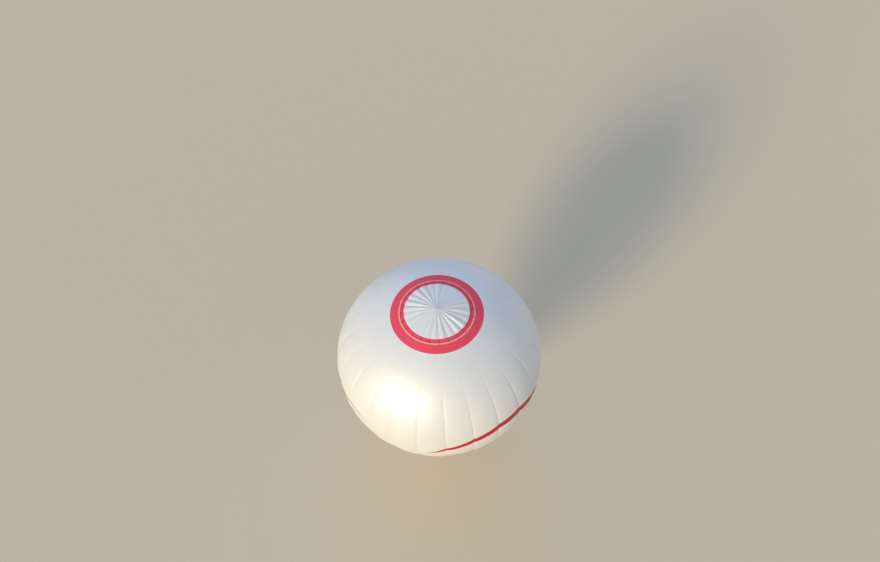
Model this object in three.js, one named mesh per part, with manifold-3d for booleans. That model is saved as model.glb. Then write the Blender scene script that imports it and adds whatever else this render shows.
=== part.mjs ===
// Hot air balloon: gored envelope with a parachute vent, flying wires, load frame,
// gimballed double burner and a wicker basket with its fuel cylinders.
// Millimetres, +Z up. The origin is on the axis at the height of the envelope's widest ring.
// The front is -Y and the left is -X.

import * as THREE from 'three';
import { mergeVertices } from 'three/addons/utils/BufferGeometryUtils.js';
import Module from 'manifold-3d';

const wasm = await Module();
wasm.setup();

// Driving dimensions
const gap = 0.3;
const gapBetweenGores = 0.4;

const envelopeRadius = 8500;
const goreCount = 24;
const fabricThickness = 10;
const coneHalfAngle = 46.4 * Math.PI / 180;
const seamTurn = 1.7 * Math.PI / 180;
const goreWidth = 2 * Math.PI * envelopeRadius / goreCount;
const leastBulge = 0.006;
const addedBulge = 0.03;
const bulgeAtWidest = 0.023;
const bulgeSkew = 1.8;
const mouthRadius = 1750;
const ventOpeningRadius = 2850;
const ventPanelRadius = 3200;
const ventGap = 12;
const crownBandRadius = 3620;
const mouthBandLength = 800;

const crownRingRadius = 130;
const crownRingTube = 12;
const tapeWidth = 40;
const tapeThickness = 4;
const tapeLift = 8;
const tapeLap = 150;
const tapeStart = 95;

const frameHeight = -12500;
const frameHalfX = 500;
const frameHalfY = 470;
const frameTube = 19;
const gimbalRadius = 330;
const gimbalTube = 15;
const pinRadius = 11;
const boreRadius = 12;
const canRadius = 125;
const canWall = 3;
const canHeight = 400;
const canOffset = 138;
const coilRadius = 108;
const coilTube = 8;
const coilTurns = 3;
const coilPitch = 62;

const basketFloorTop = -14540;
const basketHalfX = 725;
const basketHalfY = 600;
const basketCorner = 150;
const basketWall = 40;
const basketHeight = 1060;
const rimTube = 45;
const floorThickness = 22;
const runnerLength = 1300;
const runnerWidth = 90;
const runnerHeight = 40;
const runnerOffset = 380;
const cylinderRadius = 150;
const cylinderHeight = 780;

// Colours of the real materials
const colours = {
  whiteFabric: 0xf1efe8,
  redFabric: 0xd8404f,
  tape: 0xd9d6cc,
  aluminium: 0xb9bcbf,
  steel: 0x9a9da1,
  wicker: 0xa8743f,
  leather: 0x5b3a24,
  plywood: 0xb98f5c,
  sleeve: 0x8e2f38,
  cylinder: 0xc8cacc,
  brass: 0xb08d4a,
};

function paint(colour, roughness, metalness) {
  return new THREE.MeshStandardMaterial({ color: colour, roughness, metalness });
}

function part(name, geometry, material) {
  const mesh = new THREE.Mesh(geometry, material);
  mesh.name = name;
  return mesh;
}

// Merges shared corners and drops the triangles that a pole leaves empty
function closed(geometry) {
  const bare = geometry.clone();
  bare.deleteAttribute('normal');
  bare.deleteAttribute('uv');
  const merged = mergeVertices(bare, 1e-3);
  const index = merged.index.array;
  const kept = [];
  for (let i = 0; i < index.length; i += 3) {
    const [a, b, c] = [index[i], index[i + 1], index[i + 2]];
    if (a !== b && b !== c && c !== a) {
      kept.push(a, b, c);
    }
  }
  merged.setIndex(kept);
  return merged;
}

function solid(geometry, move) {
  const placed = geometry.clone();
  if (move) {
    placed.applyMatrix4(move);
  }
  const merged = closed(placed);
  return new wasm.Manifold(new wasm.Mesh({
    numProp: 3,
    vertProperties: new Float32Array(merged.attributes.position.array),
    triVerts: new Uint32Array(merged.index.array),
  }));
}

function geometryOf(body) {
  const mesh = body.getMesh();
  const geometry = new THREE.BufferGeometry();
  geometry.setAttribute('position', new THREE.BufferAttribute(new Float32Array(mesh.vertProperties), 3));
  geometry.setIndex(new THREE.BufferAttribute(new Uint32Array(mesh.triVerts), 1));
  geometry.computeVertexNormals();
  return geometry;
}

function joined(bodies) {
  return bodies.reduce((whole, body) => whole.add(body));
}

// Places: a move, or a turn that takes a shape's own Y or Z axis to a direction
function at(x, y, z) {
  return new THREE.Matrix4().makeTranslation(x, y, z);
}

const lieAlongX = new THREE.Matrix4().makeRotationZ(-Math.PI / 2);
const standAlongZ = new THREE.Matrix4().makeRotationX(Math.PI / 2);

function rodBetween(from, to, radius, sides) {
  const span = new THREE.Vector3().subVectors(to, from);
  const direction = span.clone().normalize();
  const turn = new THREE.Quaternion().setFromUnitVectors(new THREE.Vector3(0, 1, 0), direction);
  const middle = new THREE.Vector3().addVectors(from, to).multiplyScalar(0.5);
  const move = new THREE.Matrix4().compose(middle, turn, new THREE.Vector3(1, 1, 1));
  return solid(new THREE.CylinderGeometry(radius, radius, span.length(), sides), move);
}

function roundedRectangle(halfX, halfY, corner) {
  const shape = new THREE.Shape();
  shape.moveTo(-halfX + corner, -halfY);
  shape.lineTo(halfX - corner, -halfY);
  shape.absarc(halfX - corner, -halfY + corner, corner, -Math.PI / 2, 0);
  shape.lineTo(halfX, halfY - corner);
  shape.absarc(halfX - corner, halfY - corner, corner, 0, Math.PI / 2);
  shape.lineTo(-halfX + corner, halfY);
  shape.absarc(-halfX + corner, halfY - corner, corner, Math.PI / 2, Math.PI);
  shape.lineTo(-halfX, -halfY + corner);
  shape.absarc(-halfX + corner, -halfY + corner, corner, Math.PI, 1.5 * Math.PI);
  return shape;
}

// A closed body between an outer and an inner skin over a grid of rows and columns.
// Rows run down the envelope and columns run anticlockwise seen from above.
function shell(rows, columns, isRing, place) {
  const points = [];
  for (const side of [0, 1]) {
    for (let i = 0; i <= rows; i += 1) {
      for (let j = 0; j <= columns; j += 1) {
        const point = place(i / rows, j / columns, side);
        points.push(point.x, point.y, point.z);
      }
    }
  }
  const layer = (rows + 1) * (columns + 1);
  const index = (i, j, side) => side * layer + i * (columns + 1) + j;
  const faces = [];
  const quad = (a, b, c, d) => faces.push(a, b, c, a, c, d);
  for (let i = 0; i < rows; i += 1) {
    for (let j = 0; j < columns; j += 1) {
      quad(index(i, j, 0), index(i + 1, j, 0), index(i + 1, j + 1, 0), index(i, j + 1, 0));
      quad(index(i, j, 1), index(i, j + 1, 1), index(i + 1, j + 1, 1), index(i + 1, j, 1));
    }
  }
  for (let j = 0; j < columns; j += 1) {
    quad(index(0, j, 0), index(0, j + 1, 0), index(0, j + 1, 1), index(0, j, 1));
    quad(index(rows, j, 0), index(rows, j, 1), index(rows, j + 1, 1), index(rows, j + 1, 0));
  }
  if (!isRing) {
    for (let i = 0; i < rows; i += 1) {
      quad(index(i, 0, 0), index(i, 0, 1), index(i + 1, 0, 1), index(i + 1, 0, 0));
      quad(index(i, columns, 0), index(i + 1, columns, 0), index(i + 1, columns, 1), index(i, columns, 1));
    }
  }
  const geometry = new THREE.BufferGeometry();
  geometry.setAttribute('position', new THREE.Float32BufferAttribute(points, 3));
  geometry.setIndex(faces);
  const body = closed(geometry);
  body.computeVertexNormals();
  return body;
}

// The seam meridian is the natural shape of a balloon: the load tapes carry all the tension,
// so their slope falls with height times radius. It is traced up from the cone's tip to the pole.
function traceMeridian() {
  const step = 0.0005;
  const trace = [];
  let [radius, height, angle] = [0, 0, coneHalfAngle];
  while (radius >= 0) {
    trace.push({ radius, height, angle });
    angle -= height * radius * step;
    radius += Math.sin(angle) * step;
    height += Math.cos(angle) * step;
  }
  trace.push({ radius: 0, height, angle });
  const widest = trace.reduce((best, here) => (here.radius > best.radius ? here : best));
  const seamRadius = envelopeRadius - goreWidth * bulgeAtWidest;
  const scale = seamRadius / widest.radius;
  return trace.reverse().map((here, i) => ({
    radius: here.radius * scale,
    height: (here.height - widest.height) * scale,
    outX: Math.cos(here.angle),
    outZ: -Math.sin(here.angle),
    length: i * step * scale,
  }));
}

const meridian = traceMeridian();
const meridianStep = meridian[1].length;

function onMeridian(length) {
  const place = Math.min(Math.max(length / meridianStep, 0), meridian.length - 1.001);
  const [low, share] = [Math.floor(place), place % 1];
  const [a, b] = [meridian[low], meridian[low + 1]];
  const mix = (key) => a[key] * (1 - share) + b[key] * share;
  return { radius: mix('radius'), height: mix('height'), outX: mix('outX'), outZ: mix('outZ') };
}

const lengthAtTop = (radius) => meridian.find((here) => here.radius >= radius).length;
const lengthAtMouth = meridian.findLast((here) => here.radius >= mouthRadius).length;

// How far a gore billows, as a share of its width: least at the crown, most below the widest ring
function bulgeShare(length) {
  const place = Math.pow(length / lengthAtMouth, bulgeSkew);
  return leastBulge + addedBulge * Math.pow(Math.sin(Math.PI * place), 2);
}

// A point of the envelope: length down the meridian, azimuth in gores, and lift off the seam's skin
function onEnvelope(length, gore, lift, isFlat = false) {
  const here = onMeridian(length);
  const across = 2 * (gore - Math.floor(gore)) - 1;
  const width = 2 * Math.PI * here.radius / goreCount;
  const bulge = isFlat ? 0 : width * bulgeShare(length) * (1 - across * across);
  const azimuth = seamTurn + gore * 2 * Math.PI / goreCount;
  const radius = here.radius + here.outX * (bulge + lift);
  return new THREE.Vector3(
    radius * Math.cos(azimuth),
    radius * Math.sin(azimuth),
    here.height + here.outZ * (bulge + lift),
  );
}

const lengthAtVentOpening = lengthAtTop(ventOpeningRadius);
const lengthAtVentPanel = lengthAtTop(ventPanelRadius);
const lengthAtCrownBand = lengthAtTop(crownBandRadius);
const lengthAtMouthBand = lengthAtMouth - mouthBandLength;

// Envelope
const whiteFabric = paint(colours.whiteFabric, 0.55, 0);
const redFabric = paint(colours.redFabric, 0.5, 0);

function makeGore(number) {
  const [rows, columns] = [12, 3];
  const [top, bottom] = [lengthAtCrownBand + gap, lengthAtMouthBand - gap];
  return shell(rows, columns, false, (down, across, side) => {
    const length = top + (bottom - top) * down;
    const edge = gapBetweenGores / 2 / (2 * Math.PI * onMeridian(length).radius / goreCount);
    const share = Math.min(Math.max(across, edge), 1 - edge);
    return onEnvelope(length, number + share, -side * fabricThickness);
  });
}

function makeBand(rows, columnsInGore, top, bottom) {
  return shell(rows, goreCount * columnsInGore, true, (down, around, side) => (
    onEnvelope(top + (bottom - top) * down, (around * goreCount) % goreCount, -side * fabricThickness)
  ));
}

// The parachute panel lies under the crown band and the crown tapes, from the axis to its own rim
function makeVentPanel() {
  const [rows, columnsInGore] = [3, 2];
  return shell(rows, goreCount * columnsInGore, true, (down, around, side) => {
    const lift = -fabricThickness - ventGap - side * fabricThickness;
    return onEnvelope(lengthAtVentPanel * down, (around * goreCount) % goreCount, lift);
  });
}

// The load tapes cross the vent opening above the panel and meet at the crown
function makeCrownTapes() {
  const [steps, end] = [3, lengthAtVentOpening + tapeLap];
  const tapes = [];
  for (let number = 0; number < goreCount; number += 1) {
    const strip = shell(steps, 1, false, (down, across, side) => {
      const centre = onEnvelope(tapeStart + (end - tapeStart) * down, number, 0, true);
      const lift = tapeLift + (1 - side) * tapeThickness;
      const azimuth = seamTurn + number * 2 * Math.PI / goreCount;
      const aside = (across - 0.5) * tapeWidth;
      return new THREE.Vector3(
        centre.x - Math.sin(azimuth) * aside,
        centre.y + Math.cos(azimuth) * aside,
        centre.z + lift,
      );
    });
    tapes.push(solid(strip));
  }
  return joined(tapes);
}

const lengthAtRing = lengthAtTop(crownRingRadius - crownRingTube);
const tapeTopAtRing = onMeridian(lengthAtRing).height + tapeLift + tapeThickness;

function makeCrownRing() {
  return new THREE.TorusGeometry(crownRingRadius, crownRingTube, 6, 18);
}

const envelope = new THREE.Group();
for (let number = 0; number < goreCount; number += 1) {
  const name = `gore_${String(number + 1).padStart(2, '0')}`;
  envelope.add(part(name, makeGore(number), whiteFabric.clone()));
}
envelope.add(part('crown_band', makeBand(2, 3, lengthAtVentOpening, lengthAtCrownBand), redFabric.clone()));
envelope.add(part('mouth_band', makeBand(1, 3, lengthAtMouthBand, lengthAtMouth), whiteFabric.clone()));
envelope.add(part('vent_panel', makeVentPanel(), whiteFabric.clone()));
envelope.add(part('crown_tapes', geometryOf(makeCrownTapes()), paint(colours.tape, 0.7, 0)));
const crownRing = part('crown_ring', makeCrownRing(), paint(colours.aluminium, 0.35, 1));
crownRing.position.set(0, 0, tapeTopAtRing + crownRingTube + gap);
envelope.add(crownRing);

// Corners of the load frame and the basket
const corners = [
  { name: 'front_left', x: -1, y: -1 },
  { name: 'front_right', x: 1, y: -1 },
  { name: 'rear_right', x: 1, y: 1 },
  { name: 'rear_left', x: -1, y: 1 },
];

// Flying wires: six to a corner, from a load tape's end at the mouth to a shackle on the frame
const wireRadius = 5;
const wireSides = 5;
const shackleRing = 42;
const shackleTube = 7;
const lugRing = 20;
const lugTube = 6;
const lugRise = 28;
const lugHeight = frameHeight + frameTube + lugRise;
const shackleHeight = lugHeight + shackleRing;
const wireTopDrop = 15;

function makeFlyingWires(corner) {
  const [x, y] = [corner.x * frameHalfX, corner.y * frameHalfY];
  const low = new THREE.Vector3(x, y, shackleHeight + shackleRing);
  const ring = solid(
    new THREE.TorusGeometry(shackleRing, shackleTube, 5, 10),
    at(x, y, shackleHeight).multiply(standAlongZ),
  );
  const cornerAzimuth = Math.atan2(corner.y, corner.x) - seamTurn;
  const middle = Math.round(cornerAzimuth / (2 * Math.PI / goreCount) - 0.5) + 0.5;
  const wires = [];
  for (let k = 0; k < goreCount / corners.length; k += 1) {
    const gore = middle - 2.5 + k;
    const high = onEnvelope(lengthAtMouth, (gore + goreCount) % goreCount, -fabricThickness / 2, true);
    high.z -= wireTopDrop;
    wires.push(rodBetween(low, high, wireRadius, wireSides));
  }
  return joined([ring, ...wires]);
}

// The scoop hangs from the mouth inside the wires and is open to the rear
const scoopBottom = -12050;
const scoopHalfX = 590;
const scoopHalfY = 560;
const scoopSpan = 240 * Math.PI / 180;
const scoopTopShare = 0.965;
const scoopTopDrop = 30;

function makeScoop() {
  const [rows, columns] = [2, 32];
  return shell(rows, columns, false, (down, around, side) => {
    const azimuth = -Math.PI / 2 + (around - 0.5) * scoopSpan;
    const [c, s] = [Math.cos(azimuth), Math.sin(azimuth)];
    const topRadius = mouthRadius * scoopTopShare;
    const topHeight = onMeridian(lengthAtMouth).height - scoopTopDrop;
    const top = new THREE.Vector3(topRadius * c, topRadius * s, topHeight);
    const [shareX, shareY] = [Math.abs(c) / scoopHalfX, Math.abs(s) / scoopHalfY];
    const bottomRadius = Math.pow(Math.pow(shareX, 4) + Math.pow(shareY, 4), -0.25);
    const bottom = new THREE.Vector3(bottomRadius * c, bottomRadius * s, scoopBottom);
    const point = top.lerp(bottom, down);
    return point.sub(new THREE.Vector3(c, s, 0).multiplyScalar(side * fabricThickness));
  });
}

const rigging = new THREE.Group();
for (const corner of corners) {
  const wires = geometryOf(makeFlyingWires(corner));
  rigging.add(part(`flying_wires_${corner.name}`, wires, paint(colours.steel, 0.4, 1)));
}
rigging.add(part('scoop', makeScoop(), redFabric.clone()));

// Load frame: a tube square with corner sockets, shackle lugs and the gimbal's two bearings
const socketRadius = 30;
const socketBelow = 90;
const socketAbove = 8;
const bearing = { inner: 440, width: 60, height: 56, endWall: 2 };

function box(x, y, z) {
  return new THREE.BoxGeometry(x, y, z);
}

function makeLoadFrame() {
  const pieces = [];
  for (let k = 0; k < corners.length; k += 1) {
    const [a, b] = [corners[k], corners[(k + 1) % corners.length]];
    const from = new THREE.Vector3(a.x * frameHalfX, a.y * frameHalfY, frameHeight);
    const to = new THREE.Vector3(b.x * frameHalfX, b.y * frameHalfY, frameHeight);
    pieces.push(rodBetween(from, to, frameTube, 8));
    const foot = new THREE.Vector3(from.x, from.y, frameHeight - socketBelow);
    const head = new THREE.Vector3(from.x, from.y, frameHeight + frameTube + socketAbove);
    pieces.push(rodBetween(foot, head, socketRadius, 10));
    const lugPlace = at(from.x, from.y, lugHeight).multiply(new THREE.Matrix4().makeRotationY(Math.PI / 2));
    pieces.push(solid(new THREE.TorusGeometry(lugRing, lugTube, 5, 8), lugPlace));
  }
  const blockLength = frameHalfX - bearing.inner;
  for (const side of [-1, 1]) {
    const middle = bearing.inner + blockLength / 2;
    const boreMiddle = middle - frameTube - bearing.endWall;
    const block = solid(box(blockLength, bearing.width, bearing.height), at(side * middle, 0, frameHeight));
    const bore = solid(
      new THREE.CylinderGeometry(boreRadius, boreRadius, blockLength, 12),
      at(side * boreMiddle, 0, frameHeight).multiply(lieAlongX),
    );
    pieces.push(block.subtract(bore));
  }
  return joined(pieces);
}

const uprightFoot = { x: 610, y: 485, z: -13640 };
const uprightRadius = 32;
const uprightTopGap = 12;

function makeUpright(corner) {
  const low = new THREE.Vector3(corner.x * uprightFoot.x, corner.y * uprightFoot.y, uprightFoot.z);
  const top = frameHeight - socketBelow - uprightTopGap;
  const high = new THREE.Vector3(corner.x * frameHalfX, corner.y * frameHalfY, top);
  return rodBetween(low, high, uprightRadius, 12);
}

const frame = new THREE.Group();
frame.add(part('load_frame', geometryOf(makeLoadFrame()), paint(colours.steel, 0.35, 1)));
for (const corner of corners) {
  frame.add(part(`upright_${corner.name}`, geometryOf(makeUpright(corner)), paint(colours.sleeve, 0.7, 0)));
}

// Burner: an outer ring that turns about X in the frame, and a double burner that turns about Y in the ring
const ringBoss = { x: 56, y: 44, z: 44 };
const ringPinEnd = 476;
const basePinEnd = 345;
const basePinStart = 80;
const baseHalfX = 270;
const baseHalfY = 92;
const baseCorner = 40;
const baseThickness = 12;
const jetHole = 45;

function makeGimbalRing() {
  const pieces = [solid(new THREE.TorusGeometry(gimbalRadius, gimbalTube, 6, 28), at(0, 0, frameHeight))];
  for (const side of [-1, 1]) {
    const from = new THREE.Vector3(side * gimbalRadius, 0, frameHeight);
    const to = new THREE.Vector3(side * ringPinEnd, 0, frameHeight);
    pieces.push(rodBetween(from, to, pinRadius, 12));
    pieces.push(solid(box(ringBoss.x, ringBoss.y, ringBoss.z), at(0, side * gimbalRadius, frameHeight)));
  }
  const bore = new THREE.CylinderGeometry(boreRadius, boreRadius, 3 * gimbalRadius, 12);
  return joined(pieces).subtract(solid(bore, at(0, 0, frameHeight)));
}

function makeBurnerBase() {
  const plate = new THREE.ExtrudeGeometry(roundedRectangle(baseHalfX, baseHalfY, baseCorner), {
    depth: baseThickness, bevelEnabled: false, curveSegments: 4,
  });
  const pieces = [solid(plate, at(0, 0, frameHeight - baseThickness / 2))];
  for (const side of [-1, 1]) {
    const from = new THREE.Vector3(0, side * basePinStart, frameHeight);
    const to = new THREE.Vector3(0, side * basePinEnd, frameHeight);
    pieces.push(rodBetween(from, to, pinRadius, 12));
  }
  const holes = [-1, 1].map((side) => solid(
    new THREE.CylinderGeometry(jetHole, jetHole, 4 * baseThickness, 16),
    at(side * canOffset, 0, frameHeight).multiply(standAlongZ),
  ));
  return joined(pieces).subtract(holes[0]).subtract(holes[1]);
}

const canFootRadius = 55;
const canFootDrop = 10;
const canFloor = 4;
const canBottom = frameHeight + baseThickness / 2 + gap + canFootDrop;
const coilRise = 70;

function makeBurnerCan() {
  const [inner, outer] = [canRadius - canWall, canRadius];
  const profile = [
    new THREE.Vector2(canFootRadius, -canFootDrop),
    new THREE.Vector2(outer, 0),
    new THREE.Vector2(outer, canHeight),
    new THREE.Vector2(inner, canHeight),
    new THREE.Vector2(inner, canFloor),
    new THREE.Vector2(canFootRadius, canFloor - canFootDrop),
    new THREE.Vector2(canFootRadius, -canFootDrop),
  ];
  return new THREE.LatheGeometry(profile, 20).applyMatrix4(standAlongZ);
}

class CoilPath extends THREE.Curve {
  getPoint(t, target = new THREE.Vector3()) {
    const angle = t * coilTurns * 2 * Math.PI;
    return target.set(coilRadius * Math.cos(angle), coilRadius * Math.sin(angle), t * coilTurns * coilPitch);
  }
}

function makeCoil() {
  const section = new THREE.Shape().absarc(0, 0, coilTube, 0, 2 * Math.PI);
  return new THREE.ExtrudeGeometry(section, {
    steps: coilTurns * 10, curveSegments: 3, extrudePath: new CoilPath(), bevelEnabled: false,
  });
}

const valveBody = { x: 110, y: 96, z: 70 };
const valveNeck = { radius: 26, height: 60, drop: 90 };
const valveLever = { x: 26, y: 120, z: 12, forward: 96, drop: 50 };

function makeValveBlock() {
  const top = frameHeight - baseThickness / 2 - gap;
  const body = solid(box(valveBody.x, valveBody.y, valveBody.z), at(0, 0, top - valveBody.z / 2));
  const neck = solid(
    new THREE.CylinderGeometry(valveNeck.radius, valveNeck.radius, valveNeck.height, 12),
    at(0, 0, top - valveNeck.drop).multiply(standAlongZ),
  );
  const lever = solid(
    box(valveLever.x, valveLever.y, valveLever.z),
    at(0, -valveLever.forward, top - valveLever.drop),
  );
  return joined([body, neck, lever]);
}

const burner = new THREE.Group();
burner.add(part('gimbal_ring', geometryOf(makeGimbalRing()), paint(colours.steel, 0.35, 1)));
burner.add(part('burner_base', geometryOf(makeBurnerBase()), paint(colours.steel, 0.35, 1)));
for (const [name, side] of [['left', -1], ['right', 1]]) {
  const can = part(`burner_can_${name}`, geometryOf(solid(makeBurnerCan())), paint(colours.steel, 0.3, 1));
  can.position.set(side * canOffset, 0, canBottom);
  const coil = part(`burner_coil_${name}`, geometryOf(solid(makeCoil())), paint(colours.steel, 0.4, 1));
  coil.position.set(side * canOffset, 0, canBottom + coilRise);
  const valve = geometryOf(makeValveBlock());
  const block = part(`burner_valve_block_${name}`, valve, paint(colours.brass, 0.35, 1));
  block.position.set(side * canOffset, 0, 0);
  burner.add(can, coil, block);
}

// Basket
const foothole = { width: 200, height: 130, sill: 330, offset: 200 };

const basketOutline = (inset) => (
  roundedRectangle(basketHalfX - inset, basketHalfY - inset, basketCorner - inset)
);

function makeBasketWalls() {
  const outline = basketOutline(0);
  outline.holes.push(basketOutline(basketWall));
  const tube = new THREE.ExtrudeGeometry(outline, {
    depth: basketHeight, bevelEnabled: false, curveSegments: 4,
  });
  let walls = solid(tube, at(0, 0, basketFloorTop + gap));
  for (const side of [-1, 1]) {
    for (const end of [-1, 1]) {
      const hole = solid(
        box(foothole.width, 3 * basketWall, foothole.height),
        at(end * foothole.offset, side * (basketHalfY - basketWall / 2), basketFloorTop + foothole.sill),
      );
      walls = walls.subtract(hole);
    }
  }
  return walls;
}

function makeBasketRim() {
  const inset = basketWall / 2;
  const half = rimTube / 2;
  const outline = basketOutline(inset - half);
  outline.holes.push(basketOutline(inset + half));
  const roll = new THREE.ExtrudeGeometry(outline, {
    depth: rimTube, bevelThickness: half, bevelSize: half, bevelSegments: 2, curveSegments: 3,
  });
  return solid(roll, at(0, 0, basketFloorTop + basketHeight + half + 2 * gap));
}

const floorInset = 8;

function makeFloor() {
  const board = new THREE.ExtrudeGeometry(basketOutline(floorInset), {
    depth: floorThickness, bevelEnabled: false, curveSegments: 4,
  });
  return solid(board, at(0, 0, basketFloorTop - floorThickness));
}

const cylinderNeck = { radius: 30, rise: 60 };
const cylinderDome = 70;
const cylinderFoot = { inset: 25, rise: 30 };
const cylinderGuard = { inner: 106, outer: 110, below: 45, above: 90 };

function makeCylinder() {
  const profile = new THREE.Path();
  profile.moveTo(0, 0);
  profile.lineTo(cylinderRadius - cylinderFoot.inset, 0);
  profile.lineTo(cylinderRadius, cylinderFoot.rise);
  profile.lineTo(cylinderRadius, cylinderHeight - cylinderDome);
  profile.quadraticCurveTo(
    cylinderRadius, cylinderHeight - cylinderDome / 4, cylinderRadius / 2, cylinderHeight,
  );
  profile.lineTo(cylinderNeck.radius, cylinderHeight + cylinderNeck.rise / 10);
  profile.lineTo(cylinderNeck.radius, cylinderHeight + cylinderNeck.rise);
  profile.lineTo(0, cylinderHeight + cylinderNeck.rise);
  const tank = solid(new THREE.LatheGeometry(profile.getPoints(3), 14), standAlongZ);
  const [low, high] = [cylinderHeight - cylinderGuard.below, cylinderHeight + cylinderGuard.above];
  const guard = [
    new THREE.Vector2(cylinderGuard.inner, low),
    new THREE.Vector2(cylinderGuard.outer, low),
    new THREE.Vector2(cylinderGuard.outer, high),
    new THREE.Vector2(cylinderGuard.inner, high),
    new THREE.Vector2(cylinderGuard.inner, low),
  ];
  return tank.add(solid(new THREE.LatheGeometry(guard, 14), standAlongZ));
}

const basket = new THREE.Group();
basket.add(part('basket_walls', geometryOf(makeBasketWalls()), paint(colours.wicker, 0.75, 0)));
basket.add(part('basket_rim', geometryOf(makeBasketRim()), paint(colours.leather, 0.6, 0)));
basket.add(part('basket_floor', geometryOf(makeFloor()), paint(colours.plywood, 0.7, 0)));
for (const [name, side] of [['front', -1], ['rear', 1]]) {
  const timber = box(runnerLength, runnerWidth, runnerHeight);
  const runner = part(`runner_${name}`, timber, paint(colours.plywood, 0.75, 0));
  runner.position.set(0, side * runnerOffset, basketFloorTop - floorThickness - gap - runnerHeight / 2);
  basket.add(runner);
}
const cylinderClearance = 15;
const cylinderInset = basketWall + cylinderClearance + cylinderRadius;
for (const corner of corners) {
  const tank = geometryOf(makeCylinder());
  const cylinder = part(`fuel_cylinder_${corner.name}`, tank, paint(colours.cylinder, 0.35, 1));
  cylinder.position.set(
    corner.x * (basketHalfX - cylinderInset),
    corner.y * (basketHalfY - cylinderInset),
    basketFloorTop + gap,
  );
  basket.add(cylinder);
}

const balloon = new THREE.Group();
balloon.add(envelope, rigging, frame, burner, basket);

export default balloon;
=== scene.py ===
import math
import bpy
import numpy as np
from mathutils import Matrix, Vector


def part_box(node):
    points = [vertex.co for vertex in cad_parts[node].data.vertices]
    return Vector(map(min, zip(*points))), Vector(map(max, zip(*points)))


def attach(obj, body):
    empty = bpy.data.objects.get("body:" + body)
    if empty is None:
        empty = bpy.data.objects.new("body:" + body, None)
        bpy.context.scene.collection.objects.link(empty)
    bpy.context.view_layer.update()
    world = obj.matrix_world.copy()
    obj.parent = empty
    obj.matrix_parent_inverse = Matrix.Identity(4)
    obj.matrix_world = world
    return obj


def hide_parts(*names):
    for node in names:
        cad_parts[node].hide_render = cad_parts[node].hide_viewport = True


# A white hot air balloon with a red crown, its burner and its wicker basket.
# Metres, +Z up, the front is -Y. The origin is on the axis at the widest ring.
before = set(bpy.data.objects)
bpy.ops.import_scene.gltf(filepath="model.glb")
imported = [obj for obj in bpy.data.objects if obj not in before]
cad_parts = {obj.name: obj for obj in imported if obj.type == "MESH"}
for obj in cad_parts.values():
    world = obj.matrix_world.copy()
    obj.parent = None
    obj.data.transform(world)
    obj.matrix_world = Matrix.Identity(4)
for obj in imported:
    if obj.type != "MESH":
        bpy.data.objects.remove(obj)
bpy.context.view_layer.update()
print("frame loaded,", len(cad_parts), "nodes")


# Camera, as the picture sees it: 880 by 562 pixels, looking steeply down on the crown
picture = {
    "width": 880, "focal": 690, "tilt": 54.3, "roll": 2.6, "place": (0.3515, -29.013, 50.774),
    "sensor": 36, "clip": (1, 4000),
}


def makeCamera():
    tilt, roll = math.radians(picture["tilt"]), math.radians(picture["roll"])
    forward = Vector((0, math.cos(tilt), -math.sin(tilt)))
    level, drop = Vector((1, 0, 0)), Vector((0, -math.sin(tilt), -math.cos(tilt)))
    across = level * math.cos(roll) + drop * math.sin(roll)
    downward = drop * math.cos(roll) - level * math.sin(roll)
    turn = Matrix((across, -downward, -forward)).transposed()
    bpy.ops.object.camera_add(location=picture["place"], rotation=turn.to_euler())
    camera = bpy.context.object
    camera.name = "camera"
    camera.data.sensor_width = picture["sensor"]
    camera.data.lens = picture["sensor"] * picture["focal"] / picture["width"]
    camera.data.clip_start, camera.data.clip_end = picture["clip"]
    bpy.context.scene.camera = camera


makeCamera()


# Small helpers
def rgb(hexColour, strength=1.0):
    parts = [int(hexColour[i:i + 2], 16) / 255 for i in (0, 2, 4)]
    linear = [p / 12.92 if p <= 0.04045 else ((p + 0.055) / 1.055) ** 2.4 for p in parts]
    return (*(value * strength for value in linear), 1)


# what a node has unless it says otherwise: the output that is read, where it isn't the first, and the
# settings. A Math node gives input 0 times input 1 plus input 2.
usualOutput = {
    "Attribute": "Vector", "TexCoord": "Object", "Mix": 2, "TexBrick": "Fac", "TexChecker": "Fac",
    "TexWave": "Fac",
}
usualSettings = {"Math": {"operation": "MULTIPLY_ADD"}, "Mix": {"data_type": "RGBA"}}


def addNode(tree, kind, inputs=None, out=None, **settings):
    # adds a node with its settings and links, and gives back one of its outputs
    made = tree.nodes.new("ShaderNode" + kind)
    for name, value in {**usualSettings.get(kind, {}), **settings}.items():
        setattr(made, name, value)
    for name, value in (inputs or {}).items():
        if isinstance(value, bpy.types.NodeSocket):
            tree.links.new(value, made.inputs[name])
        else:
            made.inputs[name].default_value = value
    return made.outputs[out or usualOutput.get(kind, 0)] if made.outputs else None


def startMaterial(name):
    material = bpy.data.materials.new(name)
    material.use_nodes = True
    material.node_tree.nodes.clear()
    return material, material.node_tree


def endMaterial(material, inputs, relief=None, strength=1.0, depth=0.0):
    # relief is the height that a bump reads
    tree = material.node_tree
    if relief:
        inputs["Normal"] = addNode(tree, "Bump", {"Strength": strength, "Distance": depth, "Height": relief})
    addNode(tree, "OutputMaterial", {"Surface": addNode(tree, "BsdfPrincipled", inputs)})
    return material


def smoothStep(low, high, value):
    t = np.clip((value - low) / (high - low), 0, 1)
    return t * t * (3 - 2 * t)


def outward(azimuth):
    return Vector((math.cos(azimuth), math.sin(azimuth), 0))


def freshSelection():
    if bpy.context.object and bpy.context.object.mode != "OBJECT":
        bpy.ops.object.mode_set(mode="OBJECT")
    bpy.ops.object.select_all(action="DESELECT")


def pick(piece):
    freshSelection()
    piece.select_set(True)
    bpy.context.view_layer.objects.active = piece


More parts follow.
